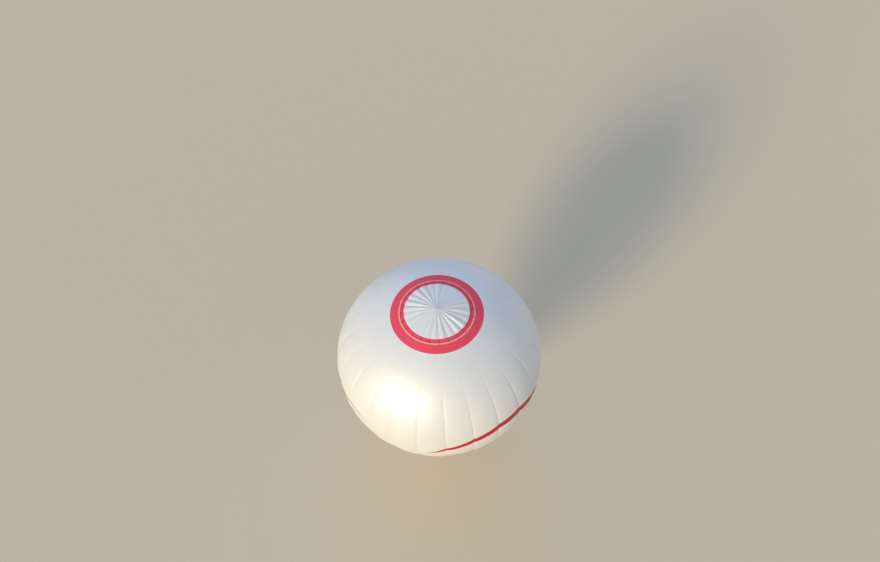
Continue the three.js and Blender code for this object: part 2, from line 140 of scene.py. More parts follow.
def edit(piece, kind="VERT", everything=False):
    # edit mode, with vertices, edges or faces to select
    pick(piece)
    bpy.context.tool_settings.mesh_select_mode = [kind == name for name in ("VERT", "EDGE", "FACE")]
    bpy.ops.object.mode_set(mode="EDIT")
    if everything:
        bpy.ops.mesh.select_all(action="SELECT")


def endEdit():
    bpy.ops.object.mode_set(mode="OBJECT")


def applyModifier(piece, kind, **settings):
    pick(piece)
    modifier = piece.modifiers.new(kind.title(), kind)
    for name, value in settings.items():
        setattr(modifier, name, value)
    bpy.ops.object.modifier_apply(modifier=modifier.name)


def smoothed(piece, angle=35):
    pick(piece)
    bpy.ops.object.shade_smooth_by_angle(angle=math.radians(angle))
    return piece


def addMesh(points, faces, corners=None):
    # corners holds the UV map, a pair for each corner of each face
    mesh = bpy.data.meshes.new("piece")
    mesh.from_pydata([tuple(point) for point in points], [], faces)
    if corners:
        mesh.uv_layers.new(name="metres").data.foreach_set("uv", np.array(corners, np.float32).ravel())
    piece = bpy.data.objects.new("piece", mesh)
    bpy.context.scene.collection.objects.link(piece)
    return piece


def thickened(piece, thickness, offset=-1):
    applyModifier(piece, "SOLIDIFY", thickness=thickness, offset=offset)
    return smoothed(piece, 40)


def joinPieces(pieces):
    freshSelection()
    for piece in pieces:
        piece.select_set(True)
    bpy.context.view_layer.objects.active = pieces[0]
    bpy.ops.object.join()
    return bpy.context.object


def finishPiece(piece, name, material, body, slot, *nodes):
    # a list of parts becomes one piece
    if isinstance(piece, list):
        piece = joinPieces(piece)
    piece.name = piece.data.name = name
    piece.data.materials.clear()
    piece.data.materials.append(material)
    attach(piece, body)
    if nodes:
        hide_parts(*nodes)


# Floor and light: a low warm key from the front left, as the evening sun in the picture, a soft
# blue light from above the rear and a pale fill
studio = {
    "floorHeight": -14.606, "floorSize": 4000, "floorColour": "D6C9B0", "floorRoughness": 0.9,
    "keyPower": 2.86, "keyColour": "FFEDC9", "keyAzimuth": -128, "keyElevation": 17, "keySize": 16,
    "skyPower": 0.56, "skyColour": "6FA8FF", "skyAzimuth": 98, "skyElevation": 42, "skySize": 80,
    "fillPower": 0.6, "fillColour": "DDE9F7",
}


def makeStudio():
    bpy.ops.mesh.primitive_plane_add(size=studio["floorSize"], location=(0, 0, studio["floorHeight"]))
    floor = bpy.context.object
    floor.name = "floor"
    material = startMaterial("pale_floor")[0]
    colour, roughness = rgb(studio["floorColour"]), studio["floorRoughness"]
    floor.data.materials.append(endMaterial(material, {"Base Color": colour, "Roughness": roughness}))
    for name in ("key", "sky"):
        elevation = math.radians(studio[name + "Elevation"])
        towards = outward(math.radians(studio[name + "Azimuth"])) * math.cos(elevation)
        towards.z = math.sin(elevation)
        bpy.ops.object.light_add(type="SUN", rotation=towards.to_track_quat("Z", "Y").to_euler())
        light = bpy.context.object
        light.name = name
        light.data.energy = studio[name + "Power"]
        light.data.color = rgb(studio[name + "Colour"])[:3]
        light.data.angle = math.radians(studio[name + "Size"])
    world = bpy.data.worlds.new("studio")
    world.use_nodes = True
    bpy.context.scene.world = world
    background = world.node_tree.nodes["Background"]
    background.inputs["Color"].default_value = rgb(studio["fillColour"])
    background.inputs["Strength"].default_value = studio["fillPower"]
    bpy.context.scene.view_settings.view_transform = "Standard"  # keeps the red as full as in the picture


makeStudio()
print("camera, floor and lights made")


# The envelope's shape: the seams follow the natural shape of a balloon, traced up from the cone's
# tip to the pole, and the fabric billows out between them
envelope = {
    "radius": 8.5, "gores": 24, "coneHalfAngle": 46.4, "seamTurn": 1.7,
    "leastBulge": 0.0022, "addedBulge": 0.026, "bulgeAtWidest": 0.023, "bulgeFrom": (5.4, 10.6),
    "bulgeTo": (19.5, 25.2), "crispness": 9,
    "mouth": 1.75, "ventOpening": 2.85, "ventPanel": 3.2, "crownBand": 3.62, "mouthBand": 0.8,
    "seamGap": 0.0002, "bandGap": 0.0003, "fabric": 0.0025, "traceStep": 0.0005,
}
goreTurn = 2 * math.pi / envelope["gores"]
allGores = list(range(envelope["gores"]))


def seamAzimuth(number):
    return math.radians(envelope["seamTurn"]) + number * goreTurn


def traceMeridian():
    step = envelope["traceStep"]
    radius, height, angle = 0.0, 0.0, math.radians(envelope["coneHalfAngle"])
    trace = []
    while radius >= 0:
        trace.append((radius, height, angle))
        angle -= height * radius * step
        radius += math.sin(angle) * step
        height += math.cos(angle) * step
    trace.append((0, height, angle))
    radii, heights, angles = np.array(trace[::-1]).T
    widest = radii.argmax()
    seamRadius = envelope["radius"] * (1 - goreTurn * envelope["bulgeAtWidest"])
    scale = seamRadius / radii[widest]
    return {
        "length": np.arange(len(radii)) * step * scale,
        "radius": radii * scale,
        "height": (heights - heights[widest]) * scale,
        "outX": np.cos(angles),
        "outZ": -np.sin(angles),
    }


meridian = traceMeridian()


def onMeridian(length):
    keys = ("radius", "height", "outX", "outZ")
    return [np.interp(length, meridian["length"], meridian[key]) for key in keys]


def lengthAtTop(radius):
    return float(meridian["length"][np.argmax(meridian["radius"] >= radius)])


def lengthAtBottom(radius):
    fromTip = np.argmax(meridian["radius"][::-1] >= radius)
    return float(meridian["length"][len(meridian["radius"]) - 1 - fromTip])


lengths = {name: lengthAtTop(envelope[name]) for name in ("ventOpening", "ventPanel", "crownBand")}
lengths["mouth"] = lengthAtBottom(envelope["mouth"])
lengths["mouthBand"] = lengths["mouth"] - envelope["mouthBand"]


def goreWidth(length):
    return onMeridian(length)[0] * goreTurn


def toSpace(length, azimuth, lift):
    radius, height, outX, outZ = onMeridian(length)
    reach = radius + outX * lift
    return np.stack([reach * np.cos(azimuth), reach * np.sin(azimuth), height + outZ * lift], axis=-1)


# How far the fabric stands off the seam's own surface, with the puckers that the shorter load tapes
# gather along the seams below the shoulder
puckers = {
    "depth": 0.011, "pitch": 0.46, "reach": 0.24, "clear": (0.016, 0.07), "span": (8.0, 13.0),
    "turnBySeam": 2.4, "drift": (1.7, 0.9, 1.3),
}
waves = {"depth": 0.010, "span": (7.0, 14.0), "down": (1.1, 2.1), "across": (0.7, 0.5)}


def billow(length, gore, share):
    across = np.abs(2 * share - 1)
    grown = smoothStep(*envelope["bulgeFrom"], length) * (1 - smoothStep(*envelope["bulgeTo"], length))
    bulge = envelope["leastBulge"] + envelope["addedBulge"] * grown
    # half a soft round billow, half a narrow valley at the seam
    profile = 1 - 0.5 * across ** 2 - 0.5 * across ** envelope["crispness"]
    lift = goreWidth(length) * bulge * profile
    fromSeam = (1 - across) * goreWidth(length) / 2
    side = np.where(share < 0.5, gore, gore + 1) % envelope["gores"]
    gather = smoothStep(*puckers["span"], length) * smoothStep(*puckers["clear"], fromSeam)
    swing, byLength, bySeam = puckers["drift"]
    phase = puckers["turnBySeam"] * side + swing * np.sin(byLength * length + bySeam * side)
    pucker = np.sin(2 * np.pi * length / puckers["pitch"] + phase) * np.exp(-fromSeam / puckers["reach"])
    down = np.sin(waves["down"][0] * length + waves["down"][1] * gore)
    aside = np.sin(3 * np.pi * share + waves["across"][0] * gore + waves["across"][1] * length)
    swell = waves["depth"] * smoothStep(*waves["span"], length) * down * aside * (1 - across ** 2)
    return lift + puckers["depth"] * gather * pucker + swell


def addPlaces(piece, aside, half):
    # how far each point is from a red shape's middle line, and the shape's half width there
    values = np.stack([aside, half, np.zeros_like(aside)], axis=-1).astype(np.float32)
    piece.data.attributes.new("redShape", "FLOAT_VECTOR", "POINT").data.foreach_set("vector", values.ravel())


# A sheet over a stretch of the meridian and one or all of the gores. Its UV map is in metres:
# u runs across a gore and steps by goreStep from gore to gore, v is the length down from the pole.
goreStep = 10


def makeSheet(downs, shares, gores, liftAt, redOf=None, thickness=envelope["fabric"]):
    isRing = len(gores) == envelope["gores"]
    inGore = len(shares) - 1
    columns = [(gore, share) for gore in gores for share in shares[:-1]]
    if not isRing:
        columns.append((gores[-1], shares[-1]))
    gore, share = np.array(columns, float).T[:, None, :]
    down = np.asarray(downs, float)[:, None]
    down, gore, share = np.broadcast_arrays(down, gore, share)
    points = toSpace(down, seamAzimuth(gore + share), liftAt(down, gore, share))
    rows, width = down.shape
    hasPole = downs[0] == 0
    index = np.arange(rows * width).reshape(rows, width)
    if hasPole:
        index[0, :] = 0
    faces, corners = [], []
    for i in range(rows - 1):
        for j in range(inGore * len(gores)):
            k = (j + 1) % width
            number, place = gores[j // inGore], j % inGore
            quad = [(i, j, place), (i + 1, j, place), (i + 1, k, place + 1), (i, k, place + 1)]
            if hasPole and i == 0:
                quad = quad[:3]
            faces.append([int(index[a, b]) for a, b, _ in quad])
            for a, _, c in quad:
                fromMiddle = (shares[c] - 0.5) * float(goreWidth(downs[a]))
                corners.append((fromMiddle + goreStep * number, downs[a]))
    piece = addMesh(points.reshape(-1, 3), faces, corners)
    if redOf:
        addPlaces(piece, *redOf(down, points))
    if hasPole:
        edit(piece, everything=True)
        bpy.ops.mesh.delete_loose()
        endEdit()
    return thickened(piece, thickness)


def flatArea(low, high):
    along = np.linspace(low, high, 200)
    radius = onMeridian(along)[0]
    return float(np.sum((radius[1:] + radius[:-1]) / 2 * np.diff(along))) * 2 * math.pi


# The red ribbons sweep round the widest ring, each drawn by places on its middle line: azimuth in
# degrees, height and width in envelope radii. Under each hangs a crescent. The rear ribbon repeats the
# right one.
rightRibbon = (
    (-99, -0.125, 0.004), (-93, -0.062, 0.030), (-88, -0.020, 0.046), (-83, 0.004, 0.056),
    (-76, 0.040, 0.062), (-67, 0.070, 0.070), (-60, 0.090, 0.074), (-54, 0.098, 0.076),
    (-47, 0.094, 0.080), (-40, 0.072, 0.084), (-34, 0.034, 0.086), (-24, -0.045, 0.078),
    (-14, -0.125, 0.045), (-6, -0.190, 0.004),
)
leftRibbon = (
    (-206, -0.160, 0.004), (-190, -0.080, 0.080), (-178, -0.010, 0.118), (-168, 0.014, 0.122),
    (-162, 0.016, 0.100), (-157, 0.030, 0.056), (-153, 0.050, 0.030), (-149, 0.066, 0.020),
    (-145, 0.074, 0.015), (-139, 0.066, 0.010), (-134, 0.046, 0.004),
)
ribbons = {
    "paths": (rightRibbon, leftRibbon, tuple((place + 145, *rest) for place, *rest in rightRibbon)),
    "tipTaper": 0.3, "farOff": -0.35, "outside": -9.0,
}
crescents = {"centres": (-55, 90, -172), "tips": 35, "top": -0.20, "bottom": -0.45, "upper": 0.45}


def smoothLine(places, values, at):
    # a cubic line through the values, with the slope of its neighbours at each
    slopes = np.gradient(values, places)
    k = np.clip(np.searchsorted(places, at) - 1, 0, len(places) - 2)
    gap = places[k + 1] - places[k]
    t = (at - places[k]) / gap
    return ((2 * t ** 3 - 3 * t ** 2 + 1) * values[k] + (t ** 3 - 2 * t ** 2 + t) * gap * slopes[k]
            + (3 * t ** 2 - 2 * t ** 3) * values[k + 1] + (t ** 3 - t ** 2) * gap * slopes[k + 1])


def nearestRibbon(down, points):
    azimuth = np.degrees(np.arctan2(points[..., 1], points[..., 0]))
    height = points[..., 2]
    radius = envelope["radius"]
    aside, half = np.zeros(height.shape), np.full(height.shape, ribbons["outside"])

    def keepNearest(newAside, newHalf):
        isNearer = newHalf - np.abs(newAside) > np.maximum(half - np.abs(aside), ribbons["farOff"])
        aside[isNearer], half[isNearer] = newAside[isNearer], newHalf[isNearer]

    for path in ribbons["paths"]:
        places, heights, widths = np.array(path, float).T
        middle = (places[0] + places[-1]) / 2
        at = middle + (azimuth - middle + 180) % 360 - 180
        inPath = np.clip(at, places[0], places[-1])
        line = smoothLine(places, heights, inPath) * radius
        halfWidth = smoothLine(places, widths, inPath) * radius / 2
        # past its ends the ribbon runs out in a point
        halfWidth = halfWidth - np.radians(np.abs(at - inPath)) * radius * ribbons["tipTaper"]
        # a steep stretch of the line is as wide as a level one
        lean = np.interp(at, places, np.gradient(heights, np.radians(places)))
        keepNearest((height - line) / np.hypot(1, lean), halfWidth)
    for centre in crescents["centres"]:
        away = np.abs((azimuth - centre + 180) % 360 - 180)
        reach = np.clip(1 - (away / crescents["tips"]) ** 2, -1, 1)
        deep = (crescents["top"] - crescents["bottom"]) * radius * reach
        middle = crescents["top"] * radius - deep * (1 + crescents["upper"]) / 2
        # measured downwards, so that the cloth between it and the ribbon above is on the same side of both
        keepNearest(middle - height, deep * (1 - crescents["upper"]) / 2)
    return aside, half


# Materials of the envelope.
# Coated ripstop nylon: plain weave with a satin polyurethane coat, cut in panels 1.42 m deep and
# joined with lapped seams. The eye gets a soft broad gleam, faint panel lines and slightly uneven tone.
# The ribbons' red is deeper than the crown band's: partly a deeper dye, partly painted shade for the ribbons
# lying where less light falls.
fabricLook = {
    "white": "F5F4F0", "red": "FF4E66", "ribbonRedWithShade": "D00026", "redTint": "A06A6A", "redEdge": 0.006,
    "panel": 1.42, "seamWidth": 0.016, "seamEdge": 0.003, "seamDark": 0.965, "ripstop": 0.09,
    "panelTone": (0.035, 0.955), "toneScale": 0.32, "cloudTone": (0.05, -0.015), "crumple": 2.2,
    "roughness": (0.39, 0.53), "ior": 2.0, "sheen": 0.05, "letThrough": 0.22,
}
# Woven polyester webbing: matte, with a herringbone of warp ribs across its width.
# The ribs are 2 mm apart: drawn wider, or they would be too fine to show.
webbingLook = {"white": "EEEDE7", "salmon": "FFA69A", "ribPitch": 0.012, "dark": 0.9, "roughness": 0.62}


def whereRed(tree):
    # 1 where the red shape's half width is more than the distance from its middle line, and 0 elsewhere
    place = addNode(tree, "Attribute", attribute_name="redShape")
    split = addNode(tree, "SeparateXYZ", {"Vector": place}).node.outputs
    aside = addNode(tree, "Math", {0: split["X"]}, operation="ABSOLUTE")
    inside = addNode(tree, "Math", {0: split["Y"], 1: aside}, operation="SUBTRACT")
    edge = fabricLook["redEdge"]
    return addNode(tree, "MapRange", {"Value": inside, "From Min": -edge, "From Max": edge})


def fabricMaterial(name, colour, redColour=None):
    material, tree = startMaterial(name)
    look = fabricLook
    uv = addNode(tree, "UVMap", uv_map="metres")
    split = addNode(tree, "SeparateXYZ", {"Vector": uv}).node.outputs
    # where v is in its panel, and how near the panel's seam
    panel = addNode(tree, "Math", {0: split["Y"], 1: look["panel"]}, operation="DIVIDE")
    inPanel = addNode(tree, "Math", {0: panel}, operation="FRACT")
    fromMiddle = addNode(tree, "Math", {0: inPanel, 1: 0.5}, operation="SUBTRACT")
    fromMiddle = addNode(tree, "Math", {0: fromMiddle}, operation="ABSOLUTE")
    edge = 0.5 - look["seamWidth"] / 2 / look["panel"]
    seam = addNode(tree, "MapRange", {
        "Value": fromMiddle, "From Min": edge - look["seamEdge"], "From Max": edge,
    })
    # each panel's own tone, from its number and its gore's number
    panelNumber = addNode(tree, "Math", {0: panel}, operation="FLOOR")
    goreNumber = addNode(tree, "Math", {0: split["X"], 1: 1 / goreStep}, operation="MULTIPLY")
    goreNumber = addNode(tree, "Math", {0: goreNumber}, operation="ROUND")
    cell = addNode(tree, "CombineXYZ", {"X": goreNumber, "Y": panelNumber})
    chance = addNode(tree, "TexWhiteNoise", {"Vector": cell}, noise_dimensions="3D")
    place = addNode(tree, "TexCoord")
    cloud = addNode(tree, "TexNoise", {
        "Vector": place, "Scale": look["toneScale"], "Detail": 4, "Roughness": 0.55,
    })
    spread, least = look["panelTone"]
    tone = addNode(tree, "Math", {0: chance, 1: spread, 2: least})
    spread, least = look["cloudTone"]
    cloudTone = addNode(tree, "Math", {0: cloud, 1: spread, 2: least})
    tone = addNode(tree, "Math", {0: tone, 1: cloudTone}, operation="ADD")
    seamTone = addNode(tree, "MapRange", {"Value": seam, "To Min": 1, "To Max": look["seamDark"]})
    tone = addNode(tree, "Math", {0: tone, 1: seamTone}, operation="MULTIPLY")
    base, tint = rgb(colour), rgb(look["redTint"])
    if redColour:
        isRed = whereRed(tree)
        base = addNode(tree, "Mix", {0: isRed, 6: base, 7: rgb(redColour)})
        tint = addNode(tree, "Mix", {0: isRed, 6: (1, 1, 1, 1), 7: tint})
    toneColour = addNode(tree, "CombineXYZ", {0: tone, 1: tone, 2: tone})
    base = addNode(tree, "Mix", {0: 1.0, 6: base, 7: toneColour}, blend_type="MULTIPLY")
    # ripstop threads are 5 mm apart: drawn 90 mm apart, or they would be too fine to show
    grid = addNode(tree, "TexBrick", {
        "Vector": uv, "Color1": (1, 1, 1, 1), "Color2": (1, 1, 1, 1), "Mortar": (0, 0, 0, 1),
        "Scale": 1, "Mortar Size": 0.004, "Mortar Smooth": 0.6,
        "Brick Width": look["ripstop"], "Row Height": look["ripstop"],
    }, offset=0.0)
    crumple = addNode(tree, "TexNoise", {
        "Vector": place, "Scale": look["crumple"], "Detail": 5, "Roughness": 0.5, "Distortion": 0.3,
    })
    relief = addNode(tree, "Math", {0: crumple, 1: 6.0, 2: seam})
    relief = addNode(tree, "Math", {0: grid, 1: 0.25, 2: relief})
    smoothest, roughest = look["roughness"]
    rough = addNode(tree, "MapRange", {"Value": cloud, "To Min": smoothest, "To Max": roughest})
    return endMaterial(material, {
        "Base Color": base, "Roughness": rough,
        "Sheen Weight": look["sheen"], "Sheen Roughness": 0.4,
        "IOR": look["ior"], "Specular IOR Level": 1.0, "Specular Tint": tint,
        # thin cloth lets some of the daylight through to the inside
        "Subsurface Weight": look["letThrough"], "Subsurface Radius": (1.0, 1.0, 1.0),
        "Subsurface Scale": 0.03,
    }, relief, 0.35, 0.003)


def webbingMaterial(name, colour, redColour=None):
    material, tree = startMaterial(name)
    look = webbingLook
    uv = addNode(tree, "UVMap", uv_map="metres")
    rib = addNode(tree, "TexWave", {
        "Vector": uv, "Scale": 1 / look["ribPitch"], "Distortion": 0.6, "Detail": 1,
    }, bands_direction="DIAGONAL")
    place = addNode(tree, "TexCoord")
    cloud = addNode(tree, "TexNoise", {"Vector": place, "Scale": 1.3, "Detail": 4})
    mixed = addNode(tree, "Math", {0: rib, 1: 0.5, 2: cloud})
    dark, full = rgb(colour, look["dark"]), rgb(colour)
    tone = addNode(tree, "Mix", {0: mixed, 6: dark, 7: full})
    if redColour:
        tone = addNode(tree, "Mix", {0: whereRed(tree), 6: tone, 7: rgb(redColour)})
    return endMaterial(material, {
        "Base Color": tone, "Roughness": look["roughness"], "Sheen Weight": 0.2,
        "Specular IOR Level": 0.8,
    }, rib, 0.5, 0.0008)


whiteFabric = fabricMaterial("coated_ripstop_white", fabricLook["white"], fabricLook["ribbonRedWithShade"])
ventFabric = fabricMaterial("coated_ripstop_white_and_red", fabricLook["white"], fabricLook["red"])
redFabric = fabricMaterial("coated_ripstop_red", fabricLook["red"])
loadTapeLook = webbingMaterial("woven_polyester_white_and_red", webbingLook["white"], fabricLook["ribbonRedWithShade"])
plainTapeLook = webbingMaterial("woven_polyester_white", webbingLook["white"])
edgeTapeLook = webbingMaterial("woven_polyester_salmon", webbingLook["salmon"])


# Gores
goreMesh = {"rows": 150, "columns": 18}


def seamShares(columns):
    return 0.5 - 0.5 * np.cos(np.pi * np.linspace(0, 1, columns + 1))


def makeGore(number):
    top, bottom = lengths["crownBand"] + envelope["bandGap"], lengths["mouthBand"] - envelope["bandGap"]
    downs = np.linspace(top, bottom, goreMesh["rows"] + 1)
    edge = envelope["seamGap"] / 2
    shares = np.clip(seamShares(goreMesh["columns"]), edge, 1 - edge)
    piece = makeSheet(downs, shares, [number], billow, nearestRibbon)
    finishPiece(piece, f"gore_fabric_{number + 1:02d}", whiteFabric, "root", "white_fabric",
                f"gore_{number + 1:02d}")
    flatArea(downs[0], downs[-1]) / envelope["gores"]


for number in allGores:
    makeGore(number)
print("24 gores made")


# Crown band and mouth band: rings of the same cloth with the gores' billows
bands = {"crown": {"rows": 10, "columns": 14}, "mouth": {"rows": 8, "columns": 12}}


def noRed(down, points):
    return np.zeros(down.shape), np.full(down.shape, ribbons["outside"])


def makeBand(place, top, bottom, material, slot):
    downs = np.linspace(top, bottom, bands[place]["rows"] + 1)
    piece = makeSheet(downs, seamShares(bands[place]["columns"]), allGores, billow, noRed)
    finishPiece(piece, place + "_band_fabric", material, "root", slot, place + "_band")
    around = float(onMeridian((top + bottom) / 2)[0]) * 2 * math.pi
    min(flatArea(top, bottom), (bottom - top) * around)


makeBand("crown", lengths["ventOpening"], lengths["crownBand"], redFabric, "red_fabric")
makeBand("mouth", lengths["mouthBand"], lengths["mouth"], whiteFabric, "white_fabric")


# Parachute vent: a disc held down by the crown tapes, with the slack gathered in radial pleats
vent = {
    "lift": -0.024, "rows": 48, "columns": 20, "innerTo": 2.9, "edgeRows": 4, "whiteTo": 2.53,
    "pleat": 0.088, "steepTo": 1.5, "sharpness": 1.35, "reach": (0.05, 0.35), "dies": (2.3, 2.84),
    "small": 0.012, "rimDip": 0.02, "rimDipSpan": (2.6, 2.8),
    # where the panel is drawn taut: azimuth, half width in degrees, share of the pleats lost
    "taut": ((45, 36, 0.85), (-127, 25, 0.7)),
    # where it is gathered most
    "gathered": ((155, 20, 0.3), (-38, 22, 0.45)),
    "sizeSwing": (5.3, 1.1, 2.9), "fineTurns": (73, 131),
}


def ventLift(down, gore, share):
    radius = onMeridian(down)[0]
    azimuth = seamAzimuth(gore + share)
    across = np.abs(2 * share - 1)
    window = smoothStep(*vent["reach"], radius) * (1 - smoothStep(*vent["dies"], radius))
    fast, shift, slow = vent["sizeSwing"]
    size = 0.85 + 0.25 * np.sin(fast * gore + shift) * np.sin(slow * gore)
    for sign, places in ((-1, vent["taut"]), (1, vent["gathered"])):
        for centre, width, strength in places:
            away = (np.degrees(azimuth) - centre + 180) % 360 - 180
            size = size * (1 + sign * strength * np.exp(-(away / width) ** 2))
    # pleats as steep near the middle, where the gores are narrow, as further out
    slope = np.minimum(1, radius / vent["steepTo"])
    pleat = vent["pleat"] * slope * window * size * (1 - across ** vent["sharpness"])
    coarse, fine = vent["fineTurns"]
    fine = np.sin(coarse * azimuth + 2.2 * np.sin(3 * azimuth)) + 0.6 * np.sin(fine * azimuth + 1.4 * radius)
    ripple = vent["small"] * slope * window * fine * (0.5 + 0.5 * np.sin(4 * azimuth + 1)) * (1 - across ** 4)
    dip = vent["rimDip"] * smoothStep(*vent["rimDipSpan"], radius) * across
    return vent["lift"] + pleat + ripple - dip


def ventRed(down, points):
    return np.zeros(down.shape), onMeridian(down)[0] - vent["whiteTo"]


def makeVent():
    inner = np.linspace(0, lengthAtTop(vent["innerTo"]), vent["rows"] + 1)
    edge = np.linspace(inner[-1], lengths["ventPanel"], vent["edgeRows"] + 1)
    downs, shares = np.concatenate([inner, edge[1:]]), seamShares(vent["columns"])
    piece = makeSheet(downs, shares, allGores, ventLift, ventRed)
    finishPiece(piece, "vent_panel_fabric", ventFabric, "vent", "white_fabric", "vent_panel")
    across = 2 * lengths["ventPanel"]
    min(flatArea(0, lengths["ventPanel"]), across ** 2)


makeVent()
print("bands and vent made")


# Load tapes: flat woven polyester webbing that lies in the valley of each seam
tape = {
    "width": 0.03, "thickness": 0.003, "lift": 0.0015, "rows": 110, "ends": (0.01, 0.005),
    "crownLift": 0.009, "crownStart": 0.1, "crownPast": 0.12, "crownRows": 16,
}


def makeTapes(name, downs, liftOf, redOf, *nodes):
    allPoints, corners, faces = [], [], []
    radius = onMeridian(downs)[0]
    for number in allGores:
        rows = []
        for side in (-1, 0, 1):
            aside = side * tape["width"] / 2
            azimuth = seamAzimuth(number) + np.arctan2(aside, radius)
            rows.append(toSpace(downs, azimuth, liftOf(downs, number, abs(aside))))
        start = len(allPoints)
        allPoints += np.stack(rows, axis=1).reshape(-1, 3).tolist()
        for i in range(len(downs) - 1):
            for j in range(2):
                a = start + 3 * i + j
                faces.append([a, a + 3, a + 4, a + 1])
                left, right = (j - 1) * tape["width"] / 2, j * tape["width"] / 2
                corners += [(left, downs[i]), (left, downs[i + 1]), (right, downs[i + 1]), (right, downs[i])]
    piece = addMesh(allPoints, faces, corners)
    addPlaces(piece, *redOf(np.tile(np.repeat(downs, 3), len(allGores)), np.array(allPoints)))
    finishPiece(thickened(piece, tape["thickness"], 1), name, loadTapeLook, "root", "load_tape", *nodes)


def onSeam(downs, number, aside):
    # the fabric's own height beside the seam
    share = np.clip(aside / goreWidth(downs), 0, 0.5)
    valley = billow(downs, np.full(len(downs), number), share)
    return np.maximum(valley, 0) + tape["lift"]


def overVent(downs, number, aside):
    return np.full(len(downs), tape["crownLift"])


fromBand, fromMouth = tape["ends"]
sideDowns = np.linspace(lengths["crownBand"] + fromBand, lengths["mouth"] - fromMouth, tape["rows"])
makeTapes("load_tapes", sideDowns, onSeam, nearestRibbon)
# Over the vent's red rim the crown tapes take the deep ribbon red as red sleeves; this dark red also serves
# as painted shade in the pleats' valleys there.
crownDowns = np.linspace(tape["crownStart"], lengths["ventOpening"] + tape["crownPast"], tape["crownRows"])
makeTapes("crown_tape_webbing", crownDowns, overVent, ventRed, "crown_tapes")


# Edge tapes: a pale one round the vent opening, and one on the mouth's hem
edgeTape = {
    "lift": 0.004, "thickness": 0.002, "rows": 3, "columns": 10, "vent": (-0.004, 0.115),
    "mouth": (-0.05, -0.001),
}


def overFabric(down, gore, share):
    return billow(down, gore, share) + edgeTape["lift"]


def makeEdgeTape(place, edge, material, slot):
    low, high = edgeTape[place]
    downs = np.linspace(edge + low, edge + high, edgeTape["rows"] + 1)
    shares = seamShares(edgeTape["columns"])
    piece = makeSheet(downs, shares, allGores, overFabric, thickness=edgeTape["thickness"])
    finishPiece(piece, place + "_edge_tape", material, "root", slot)


makeEdgeTape("vent", lengths["ventOpening"], edgeTapeLook, "load_tape")
makeEdgeTape("mouth", lengths["mouth"], redFabric, "red_fabric")
print("tapes made")


# Ways of modelling that the pieces below share
def fillEnds():
    # in edit mode, closes every open end with one face
    bpy.ops.mesh.select_mode(type="EDGE")
    bpy.ops.mesh.select_non_manifold(extend=False, use_wire=False, use_multi_face=False,
                                     use_non_contiguous=False, use_verts=False)
    bpy.ops.mesh.fill_holes(sides=0)


def tidyMesh(piece, fillsEnds=False):
    # seams and poles closed, faces pointing out
    edit(piece, everything=True)
    bpy.ops.mesh.remove_doubles(threshold=1e-5)
    if fillsEnds:
        fillEnds()
    bpy.ops.mesh.select_all(action="SELECT")
    bpy.ops.mesh.normals_make_consistent()
    endEdit()
    return piece


def drawLine(points):
    # one vertex, extruded from point to point
    freshSelection()
    bpy.ops.mesh.primitive_plane_add(size=0.01, location=(0, 0, 0))
    piece = bpy.context.object
    edit(piece, everything=True)
    bpy.ops.mesh.merge(type="CENTER")
    bpy.ops.transform.translate(value=points[0])
    for start, end in zip(points, points[1:]):
        bpy.ops.mesh.extrude_region_move(TRANSFORM_OT_translate={"value": Vector(end) - Vector(start)})
    bpy.ops.mesh.select_all(action="SELECT")
    bpy.ops.mesh.remove_doubles(threshold=1e-5)
    endEdit()
    return piece


def roundBends(line, bend, segments=6):
    ends = [0] * len(line.data.vertices)
    for edge in line.data.edges:
        for number in edge.vertices:
            ends[number] += 1
    for vertex in line.data.vertices:
        vertex.select = ends[vertex.index] == 2
    edit(line)
    bpy.ops.mesh.bevel(offset=bend, segments=segments, affect="VERTICES")
    endEdit()
    return line


def toCurve(line):
    pick(line)
    bpy.ops.object.convert(target="CURVE")
    return bpy.context.object


def makePipe(points, radius, sides=12, bend=0.0):
    line = drawLine([Vector(point) for point in points])
    if bend:
        roundBends(line, bend)
    curve = toCurve(line).data
    curve.bevel_depth, curve.bevel_resolution, curve.use_fill_caps = radius, sides // 2 - 2, True
    bpy.ops.object.convert(target="MESH")
    return smoothed(tidyMesh(bpy.context.object))


def placed(piece, matrix):
    # its place, turn and size are worked into its points
    pick(piece)
    piece.matrix_world = matrix
    bpy.ops.object.transform_apply()
    return piece


def setPlace(piece, place, along=(0, 0, 1), turn=0.0):
    lean = Vector(along).to_track_quat("Z", "Y").to_matrix().to_4x4()
    return placed(piece, Matrix.Translation(place) @ lean @ Matrix.Rotation(turn, 4, "Z"))


def setAxes(piece, place, *axes):
    # three axes, for its own X, Y and Z
    return placed(piece, Matrix.Translation(place) @ Matrix(axes).transposed().to_4x4())


def stretched(piece, *sizes):
    return placed(piece, Matrix.Diagonal((*sizes, 1)))


def turnOnLathe(profile, place=(0, 0, 0), along=(0, 0, 1), sides=32, isOpen=False):
    # profile holds (radius, height along the axis). An open piece gets its thickness later.
    piece = drawLine([Vector((radius, 0, height)) for radius, height in profile])
    edit(piece, everything=True)
    bpy.ops.mesh.spin(steps=sides, angle=2 * math.pi, center=(0, 0, 0), axis=(0, 0, 1))
    endEdit()
    tidyMesh(piece, fillsEnds=not isOpen)
    return setPlace(smoothed(piece), place, along)


# profiles for the lathe
def discProfile(radius, low, high):
    return [(0, low), (radius, low), (radius, high), (0, high)]


def tubeProfile(inner, outer, low, high):
    return [(inner, low), (outer, low), (outer, high), (inner, high), (inner, low)]


def rectangle(halfWide, halfHigh):
    corners = [(-halfWide, -halfHigh), (halfWide, -halfHigh), (halfWide, halfHigh), (-halfWide, halfHigh)]
    return corners + corners[:1]


def fourWays(first, second):
    return [(a, b) for a in (-first, first) for b in (-second, second)]


def copyPiece(piece, place=(0, 0, 0), turn=0.0):
    made = piece.copy()
    made.data = piece.data.copy()
    bpy.context.scene.collection.objects.link(made)
    return setPlace(made, place, turn=turn)


